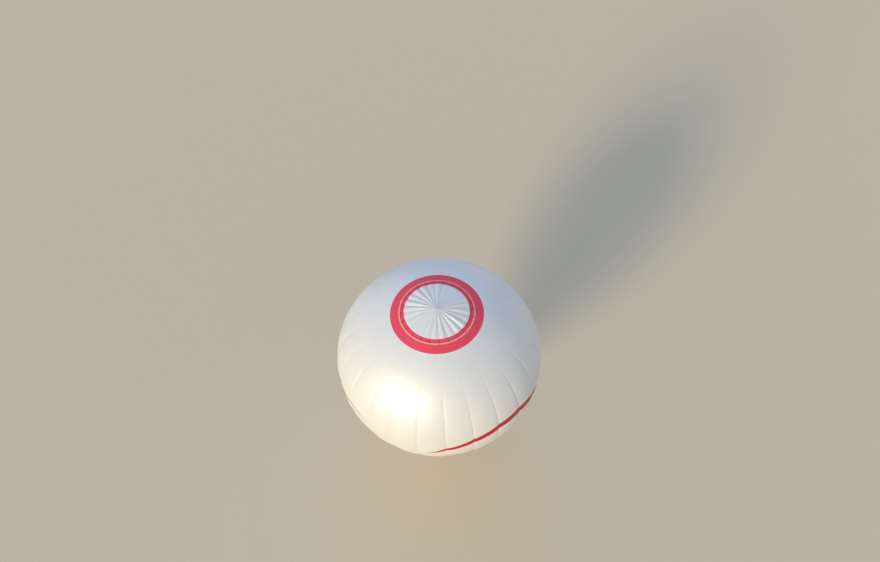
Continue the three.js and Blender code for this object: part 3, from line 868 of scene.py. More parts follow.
def addBlock(size, place=(0, 0, 0), bevel=0.003, segments=2):
    freshSelection()
    bpy.ops.mesh.primitive_cube_add(size=1)
    piece = placed(bpy.context.object, Matrix.LocRotScale(Vector(place), None, Vector(size)))
    if bevel:
        applyModifier(piece, "BEVEL", width=bevel, segments=segments)
    return smoothed(piece)


def addRing(radius, tube, place=(0, 0, 0), along=(0, 0, 1), around=48, sides=12):
    freshSelection()
    bpy.ops.mesh.primitive_torus_add(major_radius=radius, minor_radius=tube, major_segments=around,
                                     minor_segments=sides)
    return setPlace(smoothed(bpy.context.object), place, along)


def addNut(acrossCorners, height, place, along=(0, 0, 1)):
    # a hexagon with its corners chamfered by a small bevel
    freshSelection()
    bpy.ops.mesh.primitive_cylinder_add(vertices=6, radius=acrossCorners / 2, depth=height)
    piece = bpy.context.object
    applyModifier(piece, "BEVEL", width=height * 0.12, segments=1)
    return setPlace(smoothed(piece), place, along)


def bored(piece, radius, low, high, place, along=(0, 0, 1), sides=32):
    cutter = turnOnLathe(discProfile(radius, low, high), place, along, sides)
    applyModifier(piece, "BOOLEAN", object=cutter, operation="DIFFERENCE", solver="EXACT")
    bpy.data.objects.remove(cutter)
    return smoothed(piece)


def cutAcross(piece, places, normal):
    # new edges where the planes cross the piece
    edit(piece)
    for place in places:
        bpy.ops.mesh.select_all(action="SELECT")
        bpy.ops.mesh.bisect(plane_co=place, plane_no=normal)
    endEdit()


def makeStrip(line, wide, thickness, offset, bevel):
    # a strip of hide that stands on a line
    edit(line, everything=True)
    bpy.ops.mesh.extrude_region_move(TRANSFORM_OT_translate={"value": wide})
    endEdit()
    tidyMesh(line)
    applyModifier(line, "SOLIDIFY", thickness=thickness, offset=offset)
    applyModifier(line, "BEVEL", width=bevel, segments=2, limit_method="ANGLE")
    return smoothed(line)


# Materials of the lower pieces
def setStops(ramp, stops):
    # a colour ramp has two stops when it is new
    elements = ramp.node.color_ramp.elements
    for number, (position, shade) in enumerate(stops):
        element = elements[number] if number < 2 else elements.new(position)
        element.position, element.color = position, rgb(shade)


# Metals: each is told apart by its colour, its polish and the way its tool marks run
def metalMaterial(name, colour, roughness, marks, wear=0.10, tint=None):
    material, tree = startMaterial(name)
    place = addNode(tree, "TexCoord")
    # tool marks are about 0.1 mm apart: drawn a few millimetres apart, or they would be too fine to show
    drawn = addNode(tree, "Mapping", {"Vector": place, "Scale": marks})
    grain = addNode(tree, "TexNoise", {"Vector": drawn, "Scale": 1, "Detail": 3})
    stains = addNode(tree, "TexNoise", {"Vector": place, "Scale": 14, "Detail": 5})
    worn = addNode(tree, "MapRange", {"Value": stains, "From Min": 0.4, "From Max": 0.68})
    base = addNode(tree, "Mix", {0: worn, 6: rgb(colour), 7: rgb(colour, 0.74)})
    if tint:
        height = addNode(tree, "SeparateXYZ", {"Vector": place}, out="Z")
        wander = addNode(tree, "Math", {0: stains, 1: 0.16, 2: height})
        low, high = tint["from"], tint["to"]
        share = addNode(tree, "MapRange", {"Value": wander, "From Min": low, "From Max": high})
        ramp = addNode(tree, "ValToRGB", {"Fac": share})
        setStops(ramp, tint["stops"])
        base = addNode(tree, "Mix", {0: 1.0, 6: base, 7: ramp}, blend_type="MULTIPLY")
    polish = addNode(tree, "Math", {0: worn, 1: wear, 2: roughness})
    polish = addNode(tree, "Math", {0: grain, 1: 0.12, 2: polish})
    sockets = {"Base Color": base, "Metallic": 1.0, "Roughness": polish}
    return endMaterial(material, sockets, grain, 0.25, 0.0006)


# Drawn stainless tube, brushed: a soft streaky shine
stainless = metalMaterial("brushed_stainless_steel", "DAD8D4", 0.24, (260, 260, 260))
# Stranded stainless wire: fine cross marks and a duller shine
wireSteel = metalMaterial("stranded_stainless_wire", "C3C2BF", 0.34, (60, 60, 420))
# Rolled stainless sheet that the flame has coloured: straw, bronze, purple and blue towards the top
heatTint = {"from": -12.4, "to": -12.0, "stops": (
    (0.0, "FFFFFF"), (0.45, "FFF3D8"), (0.62, "E8B878"), (0.76, "A8788C"), (0.9, "7F93B4"), (1.0, "C9C4B4"),
)}
tintedSteel = metalMaterial("heat_tinted_stainless_sheet", "D0CDC8", 0.22, (30, 30, 500), 0.16, heatTint)
# Spun and welded aluminium: rings from the spinning tool, satin
spunAluminium = metalMaterial("spun_aluminium", "E9EAEC", 0.36, (25, 25, 420), 0.08)
# Machined brass with a little tarnish: warm, with duller patches
machinedBrass = metalMaterial("machined_brass", "D8AE5C", 0.22, (300, 300, 300), 0.2)


def woodMaterial(name, light, dark, along, roughness, grain):
    # Oiled timber: long grain lines along the board, dull where it is worn
    material, tree = startMaterial(name)
    drawn = addNode(tree, "Mapping", {"Vector": addNode(tree, "TexCoord"), "Scale": along})
    lines = addNode(tree, "TexWave", {
        "Vector": drawn, "Scale": 1.0, "Distortion": 5.0, "Detail": 3, "Detail Scale": 1.4,
    }, bands_direction="Y")
    fibre = addNode(tree, "TexNoise", {"Vector": drawn, "Scale": grain, "Detail": 5})
    mixed = addNode(tree, "Math", {0: lines, 1: 0.45, 2: fibre})
    share = addNode(tree, "MapRange", {"Value": mixed, "From Min": 0.4, "From Max": 1.05})
    base = addNode(tree, "Mix", {0: share, 6: rgb(light), 7: rgb(dark)})
    rough = addNode(tree, "Math", {0: fibre, 1: 0.2, 2: roughness})
    return endMaterial(material, {"Base Color": base, "Roughness": rough}, mixed, 0.4, 0.001)


plywood = woodMaterial("oiled_birch_plywood", "D0A76E", "9A6E3F", (1.2, 9, 60), 0.5, 6)
ashWood = woodMaterial("worn_ash_timber", "B89468", "7A5A3A", (1.4, 26, 26), 0.6, 5)


def leatherMaterial(name, colour, worn):
    # Vegetable-tanned hide: pebbled grain, darker creases and lighter rubbed patches, waxed
    material, tree = startMaterial(name)
    place = addNode(tree, "TexCoord")
    # pores are 1 mm apart: drawn 5 mm apart, or they would be too fine to show
    pebbles = addNode(tree, "TexVoronoi", {"Vector": place, "Scale": 200})
    rubbed = addNode(tree, "TexNoise", {"Vector": place, "Scale": 11, "Detail": 6})
    share = addNode(tree, "MapRange", {"Value": rubbed, "From Min": 0.45, "From Max": 0.75})
    base = addNode(tree, "Mix", {0: share, 6: rgb(colour), 7: rgb(worn)})
    rough = addNode(tree, "Math", {0: share, 1: 0.18, 2: 0.42})
    creases = addNode(tree, "TexNoise", {"Vector": place, "Scale": 55, "Detail": 4})
    relief = addNode(tree, "Math", {0: creases, 1: 1.5, 2: pebbles})
    return endMaterial(material, {
        "Base Color": base, "Roughness": rough, "Coat Weight": 0.12, "Coat Roughness": 0.35,
    }, relief, 0.5, 0.0012)


hide = leatherMaterial("vegetable_tanned_hide", "4E2F1C", "8A5D3B")
thong = leatherMaterial("greased_leather_thong", "C39A66", "E0C08E")


def wickerMaterial(rowPitch):
    # Peeled willow rods, varnished: each row its own honey tone, fine streaks along the rods, darker knots
    material, tree = startMaterial("varnished_willow_wicker")
    place = addNode(tree, "TexCoord")
    height = addNode(tree, "SeparateXYZ", {"Vector": place}, out="Z")
    row = addNode(tree, "Math", {0: height, 1: rowPitch}, operation="DIVIDE")
    row = addNode(tree, "Math", {0: row}, operation="FLOOR")
    chance = addNode(tree, "TexWhiteNoise", {"W": row}, noise_dimensions="1D")
    patches = addNode(tree, "TexNoise", {"Vector": place, "Scale": 5.0, "Detail": 4})
    drawn = addNode(tree, "Mapping", {"Vector": place, "Scale": (9, 9, 420)})
    streaks = addNode(tree, "TexNoise", {"Vector": drawn, "Scale": 1, "Detail": 3})
    mixed = addNode(tree, "Math", {0: chance, 1: 0.35, 2: patches})
    mixed = addNode(tree, "Math", {0: streaks, 1: 0.45, 2: mixed})
    share = addNode(tree, "MapRange", {"Value": mixed, "From Min": 0.55, "From Max": 1.2})
    ramp = addNode(tree, "ValToRGB", {"Fac": share})
    setStops(ramp, ((0.0, "8A5726"), (0.5, "BE8846"), (1.0, "E2B679")))
    rough = addNode(tree, "Math", {0: streaks, 1: 0.25, 2: 0.35})
    return endMaterial(material, {
        "Base Color": ramp, "Roughness": rough, "Coat Weight": 0.25, "Coat Roughness": 0.3,
    }, streaks, 0.4, 0.001)


def coverMaterial(name, colour, threads):
    # Woven polyester cover: matte, with crossed threads
    material, tree = startMaterial(name)
    place = addNode(tree, "TexCoord")
    # threads are 0.5 mm apart: drawn wider, or they would be too fine to show
    weave = addNode(tree, "TexChecker", {"Vector": place, "Scale": threads})
    faded = addNode(tree, "TexNoise", {"Vector": place, "Scale": 7, "Detail": 5})
    base = addNode(tree, "Mix", {0: faded, 6: rgb(colour, 0.6), 7: rgb(colour)})
    relief = addNode(tree, "Math", {0: faded, 1: 3.0, 2: weave})
    return endMaterial(material, {
        "Base Color": base, "Roughness": 0.82, "Sheen Weight": 0.35, "Sheen Roughness": 0.5,
    }, relief, 0.35, 0.0008)


sleeveCover = coverMaterial("woven_polyester_cover_red", "A8303B", 320)
darkWebbing = coverMaterial("woven_polyester_webbing_black", "34353A", 260)
whiteBraid = coverMaterial("braided_polyester_white", "E9E6DC", 400)
redBraid = coverMaterial("braided_polyester_red", "C8323E", 400)


def plasticMaterial(name, colour, roughness):
    # Moulded plastic: even colour with a soft shine and a fine spark-eroded grain
    material, tree = startMaterial(name)
    place = addNode(tree, "TexCoord")
    # the mould's grain is 0.2 mm: drawn as 1.5 mm, or it would be too fine to show
    grain = addNode(tree, "TexNoise", {"Vector": place, "Scale": 650, "Detail": 2})
    handled = addNode(tree, "TexNoise", {"Vector": place, "Scale": 30, "Detail": 4})
    rough = addNode(tree, "Math", {0: handled, 1: 0.2, 2: roughness})
    base = addNode(tree, "Mix", {0: handled, 6: rgb(colour, 0.8), 7: rgb(colour)})
    return endMaterial(material, {"Base Color": base, "Roughness": rough}, grain, 0.2, 0.0004)


redGrip = plasticMaterial("moulded_rubber_red", "C22A30", 0.45)
whiteDial = plasticMaterial("moulded_acrylic_white", "F2F1EC", 0.2)
nylonRod = plasticMaterial("extruded_nylon_white", "DAD7CC", 0.35)


# Crown ring, with the crown tapes' ends looped round it
crownRing = {"radius": 0.13, "tube": 0.012, "loop": 0.0155, "loopThickness": 0.0028, "loopWidth": 0.026}


def makeCrownRing():
    low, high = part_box("crown_ring")
    middle = (low[2] + high[2]) / 2
    ring = addRing(crownRing["radius"], crownRing["tube"], (0, 0, middle), around=72, sides=14)
    finishPiece(ring, "crown_ring_turned", spunAluminium, "root", "aluminium", "crown_ring")
    loops = []
    for number in allGores:
        azimuth = seamAzimuth(number)
        loop = addRing(crownRing["loop"], crownRing["loopThickness"] / 2, around=18, sides=6)
        stretched(loop, 1, 1, crownRing["loopWidth"] / crownRing["loopThickness"])
        place = outward(azimuth) * crownRing["radius"] + Vector((0, 0, middle))
        loops.append(setPlace(loop, place, outward(azimuth + math.pi / 2)))
    finishPiece(loops, "crown_tape_loops", plainTapeLook, "root", "load_tape")


makeCrownRing()


# Vent rigging, all taut: a shroud from each gore to one junction, and the line that leads down to the
# basket
ventLines = {
    "shroud": 0.0025, "line": 0.0045, "junction": (0, 0, 3.0), "end": (0.1, 0.4, -12.9), "ringRadius": 0.05,
    "ringTube": 0.008, "grip": 0.11, "gripRadius": 0.013, "fromEdge": 0.03, "underPanel": 0.004,
    "bridle": 0.028,
    # shares of the grip's radius and of half its length
    "gripProfile": ((0, -1), (0.8, -1), (1, -0.8), (0.85, 0), (1, 0.8), (0.8, 1), (0, 1)),
}


def makeVentLines():
    v = ventLines
    junction, end = Vector(v["junction"]), Vector(v["end"])
    shrouds = []
    for number in allGores:
        azimuth = seamAzimuth(number + 0.5)
        top = toSpace(lengths["ventPanel"] - v["fromEdge"], azimuth, vent["lift"] - v["underPanel"])
        shrouds.append(makePipe([top, junction + outward(azimuth) * v["ringRadius"]], v["shroud"], 6))
    finishPiece(shrouds, "vent_shroud_lines", whiteBraid, "vent", "load_tape")
    ring = addRing(v["ringRadius"], v["ringTube"], junction, around=40)
    finishPiece(ring, "vent_junction_ring", stainless, "vent", "stainless_steel")
    towards = (end - junction).normalized()
    start = junction + towards * v["bridle"]
    sides = [junction + Vector((side * v["ringRadius"], 0, 0)) for side in (-1, 1)]
    line = [makePipe(ends, v["line"], 8) for ends in ((sides[0], start), (sides[1], start), (start, end))]
    finishPiece(line, "vent_line", redBraid, "vent", "red_fabric")
    profile = [(v["gripRadius"] * wide, v["grip"] / 2 * along) for wide, along in v["gripProfile"]]
    finishPiece(turnOnLathe(profile, end, towards, 20), "vent_line_grip", redGrip, "vent", "red_fabric")


makeVentLines()
print("crown ring and vent lines made")


# Scoop: one curved sheet of fabric that hangs inside the wires, open to the rear
scoop = {
    "bottom": -12.05, "halfX": 0.59, "halfY": 0.56, "span": 240, "topShare": 0.965, "topDrop": 0.03,
    "power": 4, "rows": 36, "columns": 144, "sag": 0.035, "scallop": 0.022, "panels": 8, "ripple": 0.006,
    "thickness": 0.003, "flat": (7.0, 1.8), "slack": 1.05, "hem": 0.006, "line": 0.003,
    "fullness": 0.8, "topScallop": 0.35, "rippleTurns": (22, 5),
}


def scoopPoint(down, around):
    # the cloth hangs in shallow scallops between the tapes and draws in at half its height
    between = math.sin(math.pi * ((around * scoop["panels"]) % 1)) ** scoop["fullness"]
    hang = scoop["sag"] * math.sin(math.pi * min(1, down * 1.02))
    turns, drift = scoop["rippleTurns"]
    gather = math.sin(turns * around * math.pi + drift * down) * math.sin(math.pi * down) * between
    inward = (hang * 0.5 + scoop["scallop"] * between * (scoop["topScallop"] + math.sin(math.pi * down))
              + scoop["ripple"] * gather)
    out = outward(math.radians(-90 + (around - 0.5) * scoop["span"]))
    topRadius = envelope["mouth"] * scoop["topShare"]
    topHeight = float(onMeridian(lengths["mouth"])[1]) - scoop["topDrop"]
    power = scoop["power"]
    reaches = (abs(out.x / scoop["halfX"]) ** power, abs(out.y / scoop["halfY"]) ** power)
    bottomRadius = sum(reaches) ** (-1 / power)
    point = out * (topRadius + (bottomRadius - topRadius) * down - inward)
    point.z = topHeight + (scoop["bottom"] - topHeight) * down
    return point


def makeScoop():
    rows, columns = scoop["rows"], scoop["columns"]
    wide, deep = scoop["flat"]
    points = [scoopPoint(i / rows, j / columns) for i in range(rows + 1) for j in range(columns + 1)]
    faces, corners = [], []
    for i in range(rows):
        for j in range(columns):
            a = i * (columns + 1) + j
            faces.append([a, a + columns + 1, a + columns + 2, a + 1])
            left, right = ((k / columns - 0.5) * wide for k in (j, j + 1))
            top, bottom = i / rows * deep, (i + 1) / rows * deep
            corners += [(left, top), (left, bottom), (right, bottom), (right, top)]
    piece = addMesh(points, faces, corners)
    edge = points[::columns + 1]
    down = sum((low - high).length for high, low in zip(edge, edge[1:]))
    thickened(piece, scoop["thickness"])
    finishPiece(piece, "scoop_fabric", redFabric, "root", "red_fabric", "scoop")


# Load frame: stainless tubes into turned corner sockets, each with its lug, and the gimbal's two bearings
loadFrame = {
    "height": -12.5, "halfX": 0.5, "halfY": 0.47, "tube": 0.019, "socket": 0.030, "socketBelow": 0.09,
    "socketAbove": 0.027, "rodBore": 0.05, "collar": (0.005, 0.014), "screws": (0.045, 0.072),
    "lugRing": 0.020, "lugTube": 0.006, "lugHeight": -12.453, "lugFoot": 0.006,
    "bearingInner": 0.44, "bearing": (0.060, 0.060, 0.056), "bore": 0.012, "boreDepth": 0.012,
    "bushRadius": 0.018, "bushHalf": 0.002, "bearingNuts": (0.021, 0.019), "screw": (0.016, 0.008),
    "nut": (0.011, 0.006), "lugPin": ((0.011, 0), (0.008, 0.006), (0.0075, 0.012)),
}
cornerSigns = {"front_left": (-1, -1), "front_right": (1, -1), "rear_right": (1, 1), "rear_left": (-1, 1)}


def frameCorner(signX, signY, height=0.0):
    return Vector((signX * loadFrame["halfX"], signY * loadFrame["halfY"], loadFrame["height"] + height))


def makeScoopTrim():
    # hem tapes along the four edges and the eight panel tapes, and the short lines that hold the lower
    # edge, each with its loop round the load frame
    rows, columns = scoop["rows"], scoop["columns"]
    shares = np.linspace(0, 1, scoop["panels"] + 1)
    paths = [[(i / rows, share) for i in range(0, rows + 1, 2)] for share in shares]
    paths += [[(down, j / columns) for j in range(0, columns + 1, 3)] for down in (0.0, 1.0)]
    hems = [makePipe([scoopPoint(*place) for place in path], scoop["hem"], 6) for path in paths]
    finishPiece(hems, "scoop_hem_tapes", whiteBraid, "root", "load_tape")
    lines, tube = [], loadFrame["tube"]
    for share in shares:
        foot = scoopPoint(1.0, share)
        reachX, reachY = abs(foot.x) / loadFrame["halfX"], abs(foot.y) / loadFrame["halfY"]
        target = foot / max(reachX, reachY)
        target.z = loadFrame["height"]
        along = (0, 1, 0) if reachX >= reachY else (1, 0, 0)
        lines.append(makePipe([foot, target + Vector((0, 0, tube))], scoop["line"], 6))
        lines.append(addRing(tube + scoop["line"], scoop["line"], target, along, 20, 6))
    finishPiece(lines, "scoop_lines", whiteBraid, "root", "load_tape")


makeScoop()
makeScoopTrim()


def makeLoadFrame():
    f = loadFrame
    signs = list(cornerSigns.values())
    steel = []
    for here, following in zip(signs, signs[1:] + signs[:1]):
        start, end = frameCorner(*here), frameCorner(*following)
        steel.append(makePipe([start, end], f["tube"], 24))
        along = (end - start).normalized()
        thick, long = f["collar"]
        collar = [(0, 0), (thick, 0), (thick, long), (0.001, long + 0.006), (0, long + 0.006), (0, 0)]
        for corner, inward in ((start, along), (end, -along)):
            steel.append(turnOnLathe([(f["tube"] + wide, high) for wide, high in collar],
                                     corner + inward * (f["socket"] - 0.002), inward, 28))
        # the socket is bored from below for the upright's rod, and has a bead at its foot
        foot, head, r = -f["socketBelow"], f["socketAbove"], f["socket"]
        steel.append(turnOnLathe([
            (0, foot + f["rodBore"]), (r * 0.72, foot + f["rodBore"]), (r * 0.72, foot), (r, foot),
            (r + 0.003, foot + 0.003), (r + 0.003, foot + 0.013), (r, foot + 0.016), (r, head - 0.010),
            (r * 0.9, head - 0.003), (r * 0.6, head), (0, head + 0.001),
        ], start))
        for drop in f["screws"]:
            steel.append(addNut(*f["screw"], start + Vector((0, here[1] * (r + 0.003), -drop)), (0, 1, 0)))
        lug = (start.x, start.y, f["lugHeight"])
        steel.append(addRing(f["lugRing"], f["lugTube"], lug, (1, 0, 0), 32))
        steel.append(turnOnLathe(f["lugPin"], start + Vector((0, 0, f["tube"] + f["lugFoot"])), sides=16))
    return steel


def makeBearings():
    f = loadFrame
    length, _, height = f["bearing"]
    nutY, nutZ = f["bearingNuts"]
    blocks = []
    for side in (-1, 1):
        middle, along = side * (f["bearingInner"] + length / 2), (side, 0, 0)
        block = addBlock(f["bearing"], (middle, 0, f["height"]), 0.006, 3)
        blocks.append(bored(block, f["bore"], -0.03, f["boreDepth"],
                            (middle - side * f["boreDepth"], 0, f["height"]), along))
        blocks.append(turnOnLathe(tubeProfile(f["bore"], f["bushRadius"], -f["bushHalf"], f["bushHalf"]),
                                  (side * (f["bearingInner"] - 0.001), 0, f["height"]), along))
        for y, z in fourWays(nutY, nutZ):
            lift = math.copysign(height / 2 + 0.002, z)
            blocks.append(addNut(*f["nut"], (middle, y, f["height"] + lift)))
    return blocks


finishPiece(makeLoadFrame() + makeBearings(), "load_frame_tubes", stainless, "root",
            "stainless_steel", "load_frame")
print("scoop and load frame made")


# Flying wires: six stainless wires to a corner, each from a tape's loop to the corner's shackle
wires = {
    "radius": 0.0034, "sleeve": 0.0072, "sleeveLength": 0.04, "eye": 0.014, "eyeTube": 0.0034,
    "eyeLong": 1.35, "eyeReach": 0.026, "sleevePast": 0.0344, "topDrop": 0.015,
    "shackleHalf": (0.034, 0.042), "shackleTaper": 0.92, "shackleBar": 0.0065, "shackleBend": 0.022,
    "shackleHeight": -12.411, "spread": 0.0085, "loop": (0.032, 0.012, 0.11), "loopBelow": 0.012,
    "gate": ((0, -0.017), (0.009, -0.017), (0.0098, -0.014), (0.0098, 0.014), (0.009, 0.017), (0, 0.017)),
}


def makeShackle(x, y):
    # a D of round bar in the plane of the rear and front tubes, with a screwed gate on one side
    halfWide, halfHigh = wires["shackleHalf"]
    z, narrow = wires["shackleHeight"], halfHigh * wires["shackleTaper"]
    corners = [(-halfWide, -halfHigh), (halfWide, -narrow), (halfWide, narrow), (-halfWide, halfHigh)]
    outline = [(x + dx, y, z + dz) for dx, dz in corners + corners[:1]]
    return [makePipe(outline, wires["shackleBar"], 14, wires["shackleBend"]),
            turnOnLathe(wires["gate"], (x + halfWide, y, z), sides=20)]


def makeWireEnd(end, towards):
    # an eye, and the pressed sleeve that closes it
    w = wires
    eye = stretched(addRing(w["eye"], w["eyeTube"], around=24, sides=8), 1, w["eyeLong"], 1)
    aside = Vector((1, 0, 0)) - towards * towards.x
    setAxes(eye, end + towards * w["eye"], towards.cross(aside).normalized(), towards, aside.normalized())
    length, r = w["sleeveLength"], w["sleeve"]
    profile = [(0, 0), (r * 0.8, 0), (r, 0.004), (r, length - 0.006), (r * 0.62, length), (0, length)]
    return [eye, turnOnLathe(profile, end + towards * w["sleevePast"], towards, 14)]


def makeWires(corner, signX, signY):
    x, y, _ = frameCorner(signX, signY)
    top = wires["shackleHeight"] + wires["shackleHalf"][1]
    inCorner = envelope["gores"] // 4
    middle = round((math.atan2(signY, signX) - seamAzimuth(0)) / goreTurn - 0.5) + 0.5
    steel, tapes = makeShackle(x, y), []
    for k in range(inCorner):
        aside = k - (inCorner - 1) / 2
        azimuth = seamAzimuth(middle + aside)
        seamEnd = Vector(toSpace(lengths["mouth"], azimuth, 0))
        up = (Vector(toSpace(lengths["mouth"] - 0.2, azimuth, 0)) - seamEnd).normalized()
        high = Vector(toSpace(lengths["mouth"], azimuth, -0.005)) - Vector((0, 0, wires["topDrop"]))
        # neighbouring eyes sit side by side on the shackle's upper bar, in the order the wires arrive
        low = Vector((x - signY * aside * wires["spread"], y, top))
        along = (high - low).normalized()
        steel += makeWireEnd(low, along) + makeWireEnd(high, -along)
        reach = along * wires["eyeReach"]
        steel.append(makePipe([low + reach, high - reach], wires["radius"], 8))
        tangent = outward(azimuth + math.pi / 2)
        loop = addBlock(wires["loop"], bevel=0.0055, segments=3)
        setAxes(loop, high + up * (wires["loop"][2] / 2 - wires["loopBelow"]), tangent, up.cross(tangent), up)
        tapes.append(loop)
    finishPiece(steel, "rigging_" + corner, wireSteel, "root", "stainless_steel", "flying_wires_" + corner)
    return tapes


tapeEnds = []
for corner, signs in cornerSigns.items():
    tapeEnds += makeWires(corner, *signs)
finishPiece(tapeEnds, "tape_end_loops", plainTapeLook, "root", "load_tape")
print("flying wires made")


# Gimbal ring: it turns about X in the frame's bearings and carries the burner on its two bosses
gimbal = {
    "radius": 0.33, "tube": 0.015, "boss": (0.056, 0.044, 0.044), "bore": 0.012, "nutX": 0.019,
    "pin": 0.011, "pinStart": 0.336, "pinEnd": 0.476, "shoulder": (0.019, 0.018),
    "height": loadFrame["height"], "nut": (0.011, 0.006),
}


def addPin(shoulder, reach, place, along):
    # a turned pin with a shoulder and a chamfered end
    (wide, long), thin = shoulder, gimbal["pin"]
    return turnOnLathe([
        (0, 0), (wide, 0), (wide, long), (wide - 0.003, long + 0.004), (thin, long + 0.004),
        (thin, reach - 0.003), (thin - 0.003, reach), (0, reach),
    ], place, along, 28)


def makeGimbal():
    g = gimbal
    steel = [addRing(g["radius"], g["tube"], (0, 0, g["height"]), around=120, sides=20)]
    for side in (-1, 1):
        middle = Vector((0, side * g["radius"], g["height"]))
        steel.append(bored(addBlock(g["boss"], middle, 0.005, 3), g["bore"], -0.04, 0.04, middle, (0, 1, 0)))
        for x in (-g["nutX"], g["nutX"]):
            steel.append(addNut(*g["nut"], middle + Vector((x, 0, g["boss"][2] / 2 + 0.002))))
        foot = (side * g["pinStart"], 0, g["height"])
        steel.append(addPin(g["shoulder"], g["pinEnd"] - g["pinStart"], foot, (side, 0, 0)))
    finishPiece(steel, "gimbal_ring_tube", stainless, "gimbal", "stainless_steel", "gimbal_ring")


makeGimbal()


# Burner: a base plate on two pins, and over each jet ring a perforated can with its vaporising coil
burner = {
    "halfX": 0.27, "halfY": 0.092, "corner": 0.04, "thickness": 0.012, "jetHole": 0.045, "offset": 0.138,
    "pinStart": 0.08, "pinEnd": 0.345, "shoulder": (0.017, 0.05), "height": loadFrame["height"],
    "saddle": (0.06, 0.05, 0.034), "saddleOut": 0.085, "saddleNuts": (0.022, 0.019), "screwsOut": 0.082,
    "cornerNuts": (0.245, 0.066), "gap": 0.0003, "saddleNut": (0.012, 0.006), "screw": (0.013, 0.007),
    "washer": (0.010, -0.003, -0.001), "cornerNut": (0.014, 0.007),
}
can = {
    "radius": 0.125, "height": 0.4, "foot": 0.055, "footDrop": 0.010, "wall": 0.0022, "sides": 40,
    "holeRows": ((0.030, 0.052), (0.062, 0.084), (0.345, 0.367)), "holeRim": 0.0052,
    "rings": (0.012, 0.13, 0.2, 0.27, 0.335, 0.385, 0.398, 0.4), "beads": (0.115, 0.32),
    "lap": (0.024, 0.0025), "rivets": (0.05, 0.38, 0.055),
    "rivet": ((0.0035, 0), (0.003, 0.0016), (0, 0.0022)),
}
coil = {
    "radius": 0.108, "tube": 0.0078, "turns": 3, "pitch": 0.062, "rise": 0.07, "steps": 40,
    "clips": (80, 200, 320), "clip": 0.003, "clipPast": (0.012, 0.014), "bends": (0.02, 0.022),
}
jets = {
    "ring": (0.036, 0.006), "count": 12,
    "nozzle": ((0.004, 0), (0.0042, 0.008), (0.0025, 0.013), (0.0012, 0.013), (0, 0.011)),
    "pilot": ((0.009, -0.03), (0.009, 0.02), (0.012, 0.022), (0.012, 0.045), (0.010, 0.047), (0.0085, 0.047),
              (0.0085, 0.03), (0, 0.03)),
}
deck = burner["height"] + burner["thickness"] / 2
canBottom = deck + burner["gap"] + can["footDrop"]


def makeBurnerBase():
    b = burner
    freshSelection()
    bpy.ops.mesh.primitive_plane_add(size=2)
    plate = stretched(bpy.context.object, b["halfX"], b["halfY"], 1)
    edit(plate, everything=True)
    bpy.ops.mesh.bevel(offset=b["corner"], segments=8, affect="VERTICES")
    endEdit()
    applyModifier(plate, "SOLIDIFY", thickness=b["thickness"], offset=0)
    tidyMesh(plate)
    applyModifier(plate, "BEVEL", width=0.0015, segments=2, limit_method="ANGLE")
    setPlace(smoothed(plate), (0, 0, b["height"]))
    for side in (-1, 1):
        bored(plate, b["jetHole"], -0.02, 0.02, (side * b["offset"], 0, b["height"]), sides=48)
    steel = [plate]
    for side in (-1, 1):
        pinFoot = (0, side * b["pinStart"], b["height"])
        steel.append(addPin(b["shoulder"], b["pinEnd"] - b["pinStart"], pinFoot, (0, side, 0)))
        # a welded saddle holds each pin on the plate
        saddle = Vector((0, side * b["saddleOut"], b["height"]))
        steel.append(addBlock(b["saddle"], saddle, 0.006, 3))
        nutX, lift = b["saddleNuts"]
        steel += [addNut(*b["saddleNut"], saddle + Vector((x, 0, lift))) for x in (-nutX, nutX)]
        # four screws with washers hold the can
        for k in range(4):
            out = outward(math.radians(45 + 90 * k)) * b["screwsOut"]
            foot = Vector((side * b["offset"], 0, deck + 0.004)) + out
            steel.append(addNut(*b["screw"], foot))
            steel.append(turnOnLathe(discProfile(*b["washer"]), foot, sides=20))
    steel += [addNut(*b["cornerNut"], (x, y, deck + 0.003)) for x, y in fourWays(*b["cornerNuts"])]
    finishPiece(steel, "burner_base_plate", stainless, "burner", "stainless_steel", "burner_base")


def cutHoles(wall, isHole, rim, isEach, thickness, offset):
    # holes in an open wall, each with a rim of rounded faces, and then its thickness
    for polygon in wall.data.polygons:
        polygon.select = isHole(polygon)
    edit(wall, "FACE")
    bpy.ops.mesh.inset(thickness=rim, use_individual=isEach)
    bpy.ops.mesh.delete(type="FACE")
    endEdit()
    applyModifier(wall, "SUBSURF", levels=1, render_levels=1)
    applyModifier(wall, "SOLIDIFY", thickness=thickness, offset=offset)


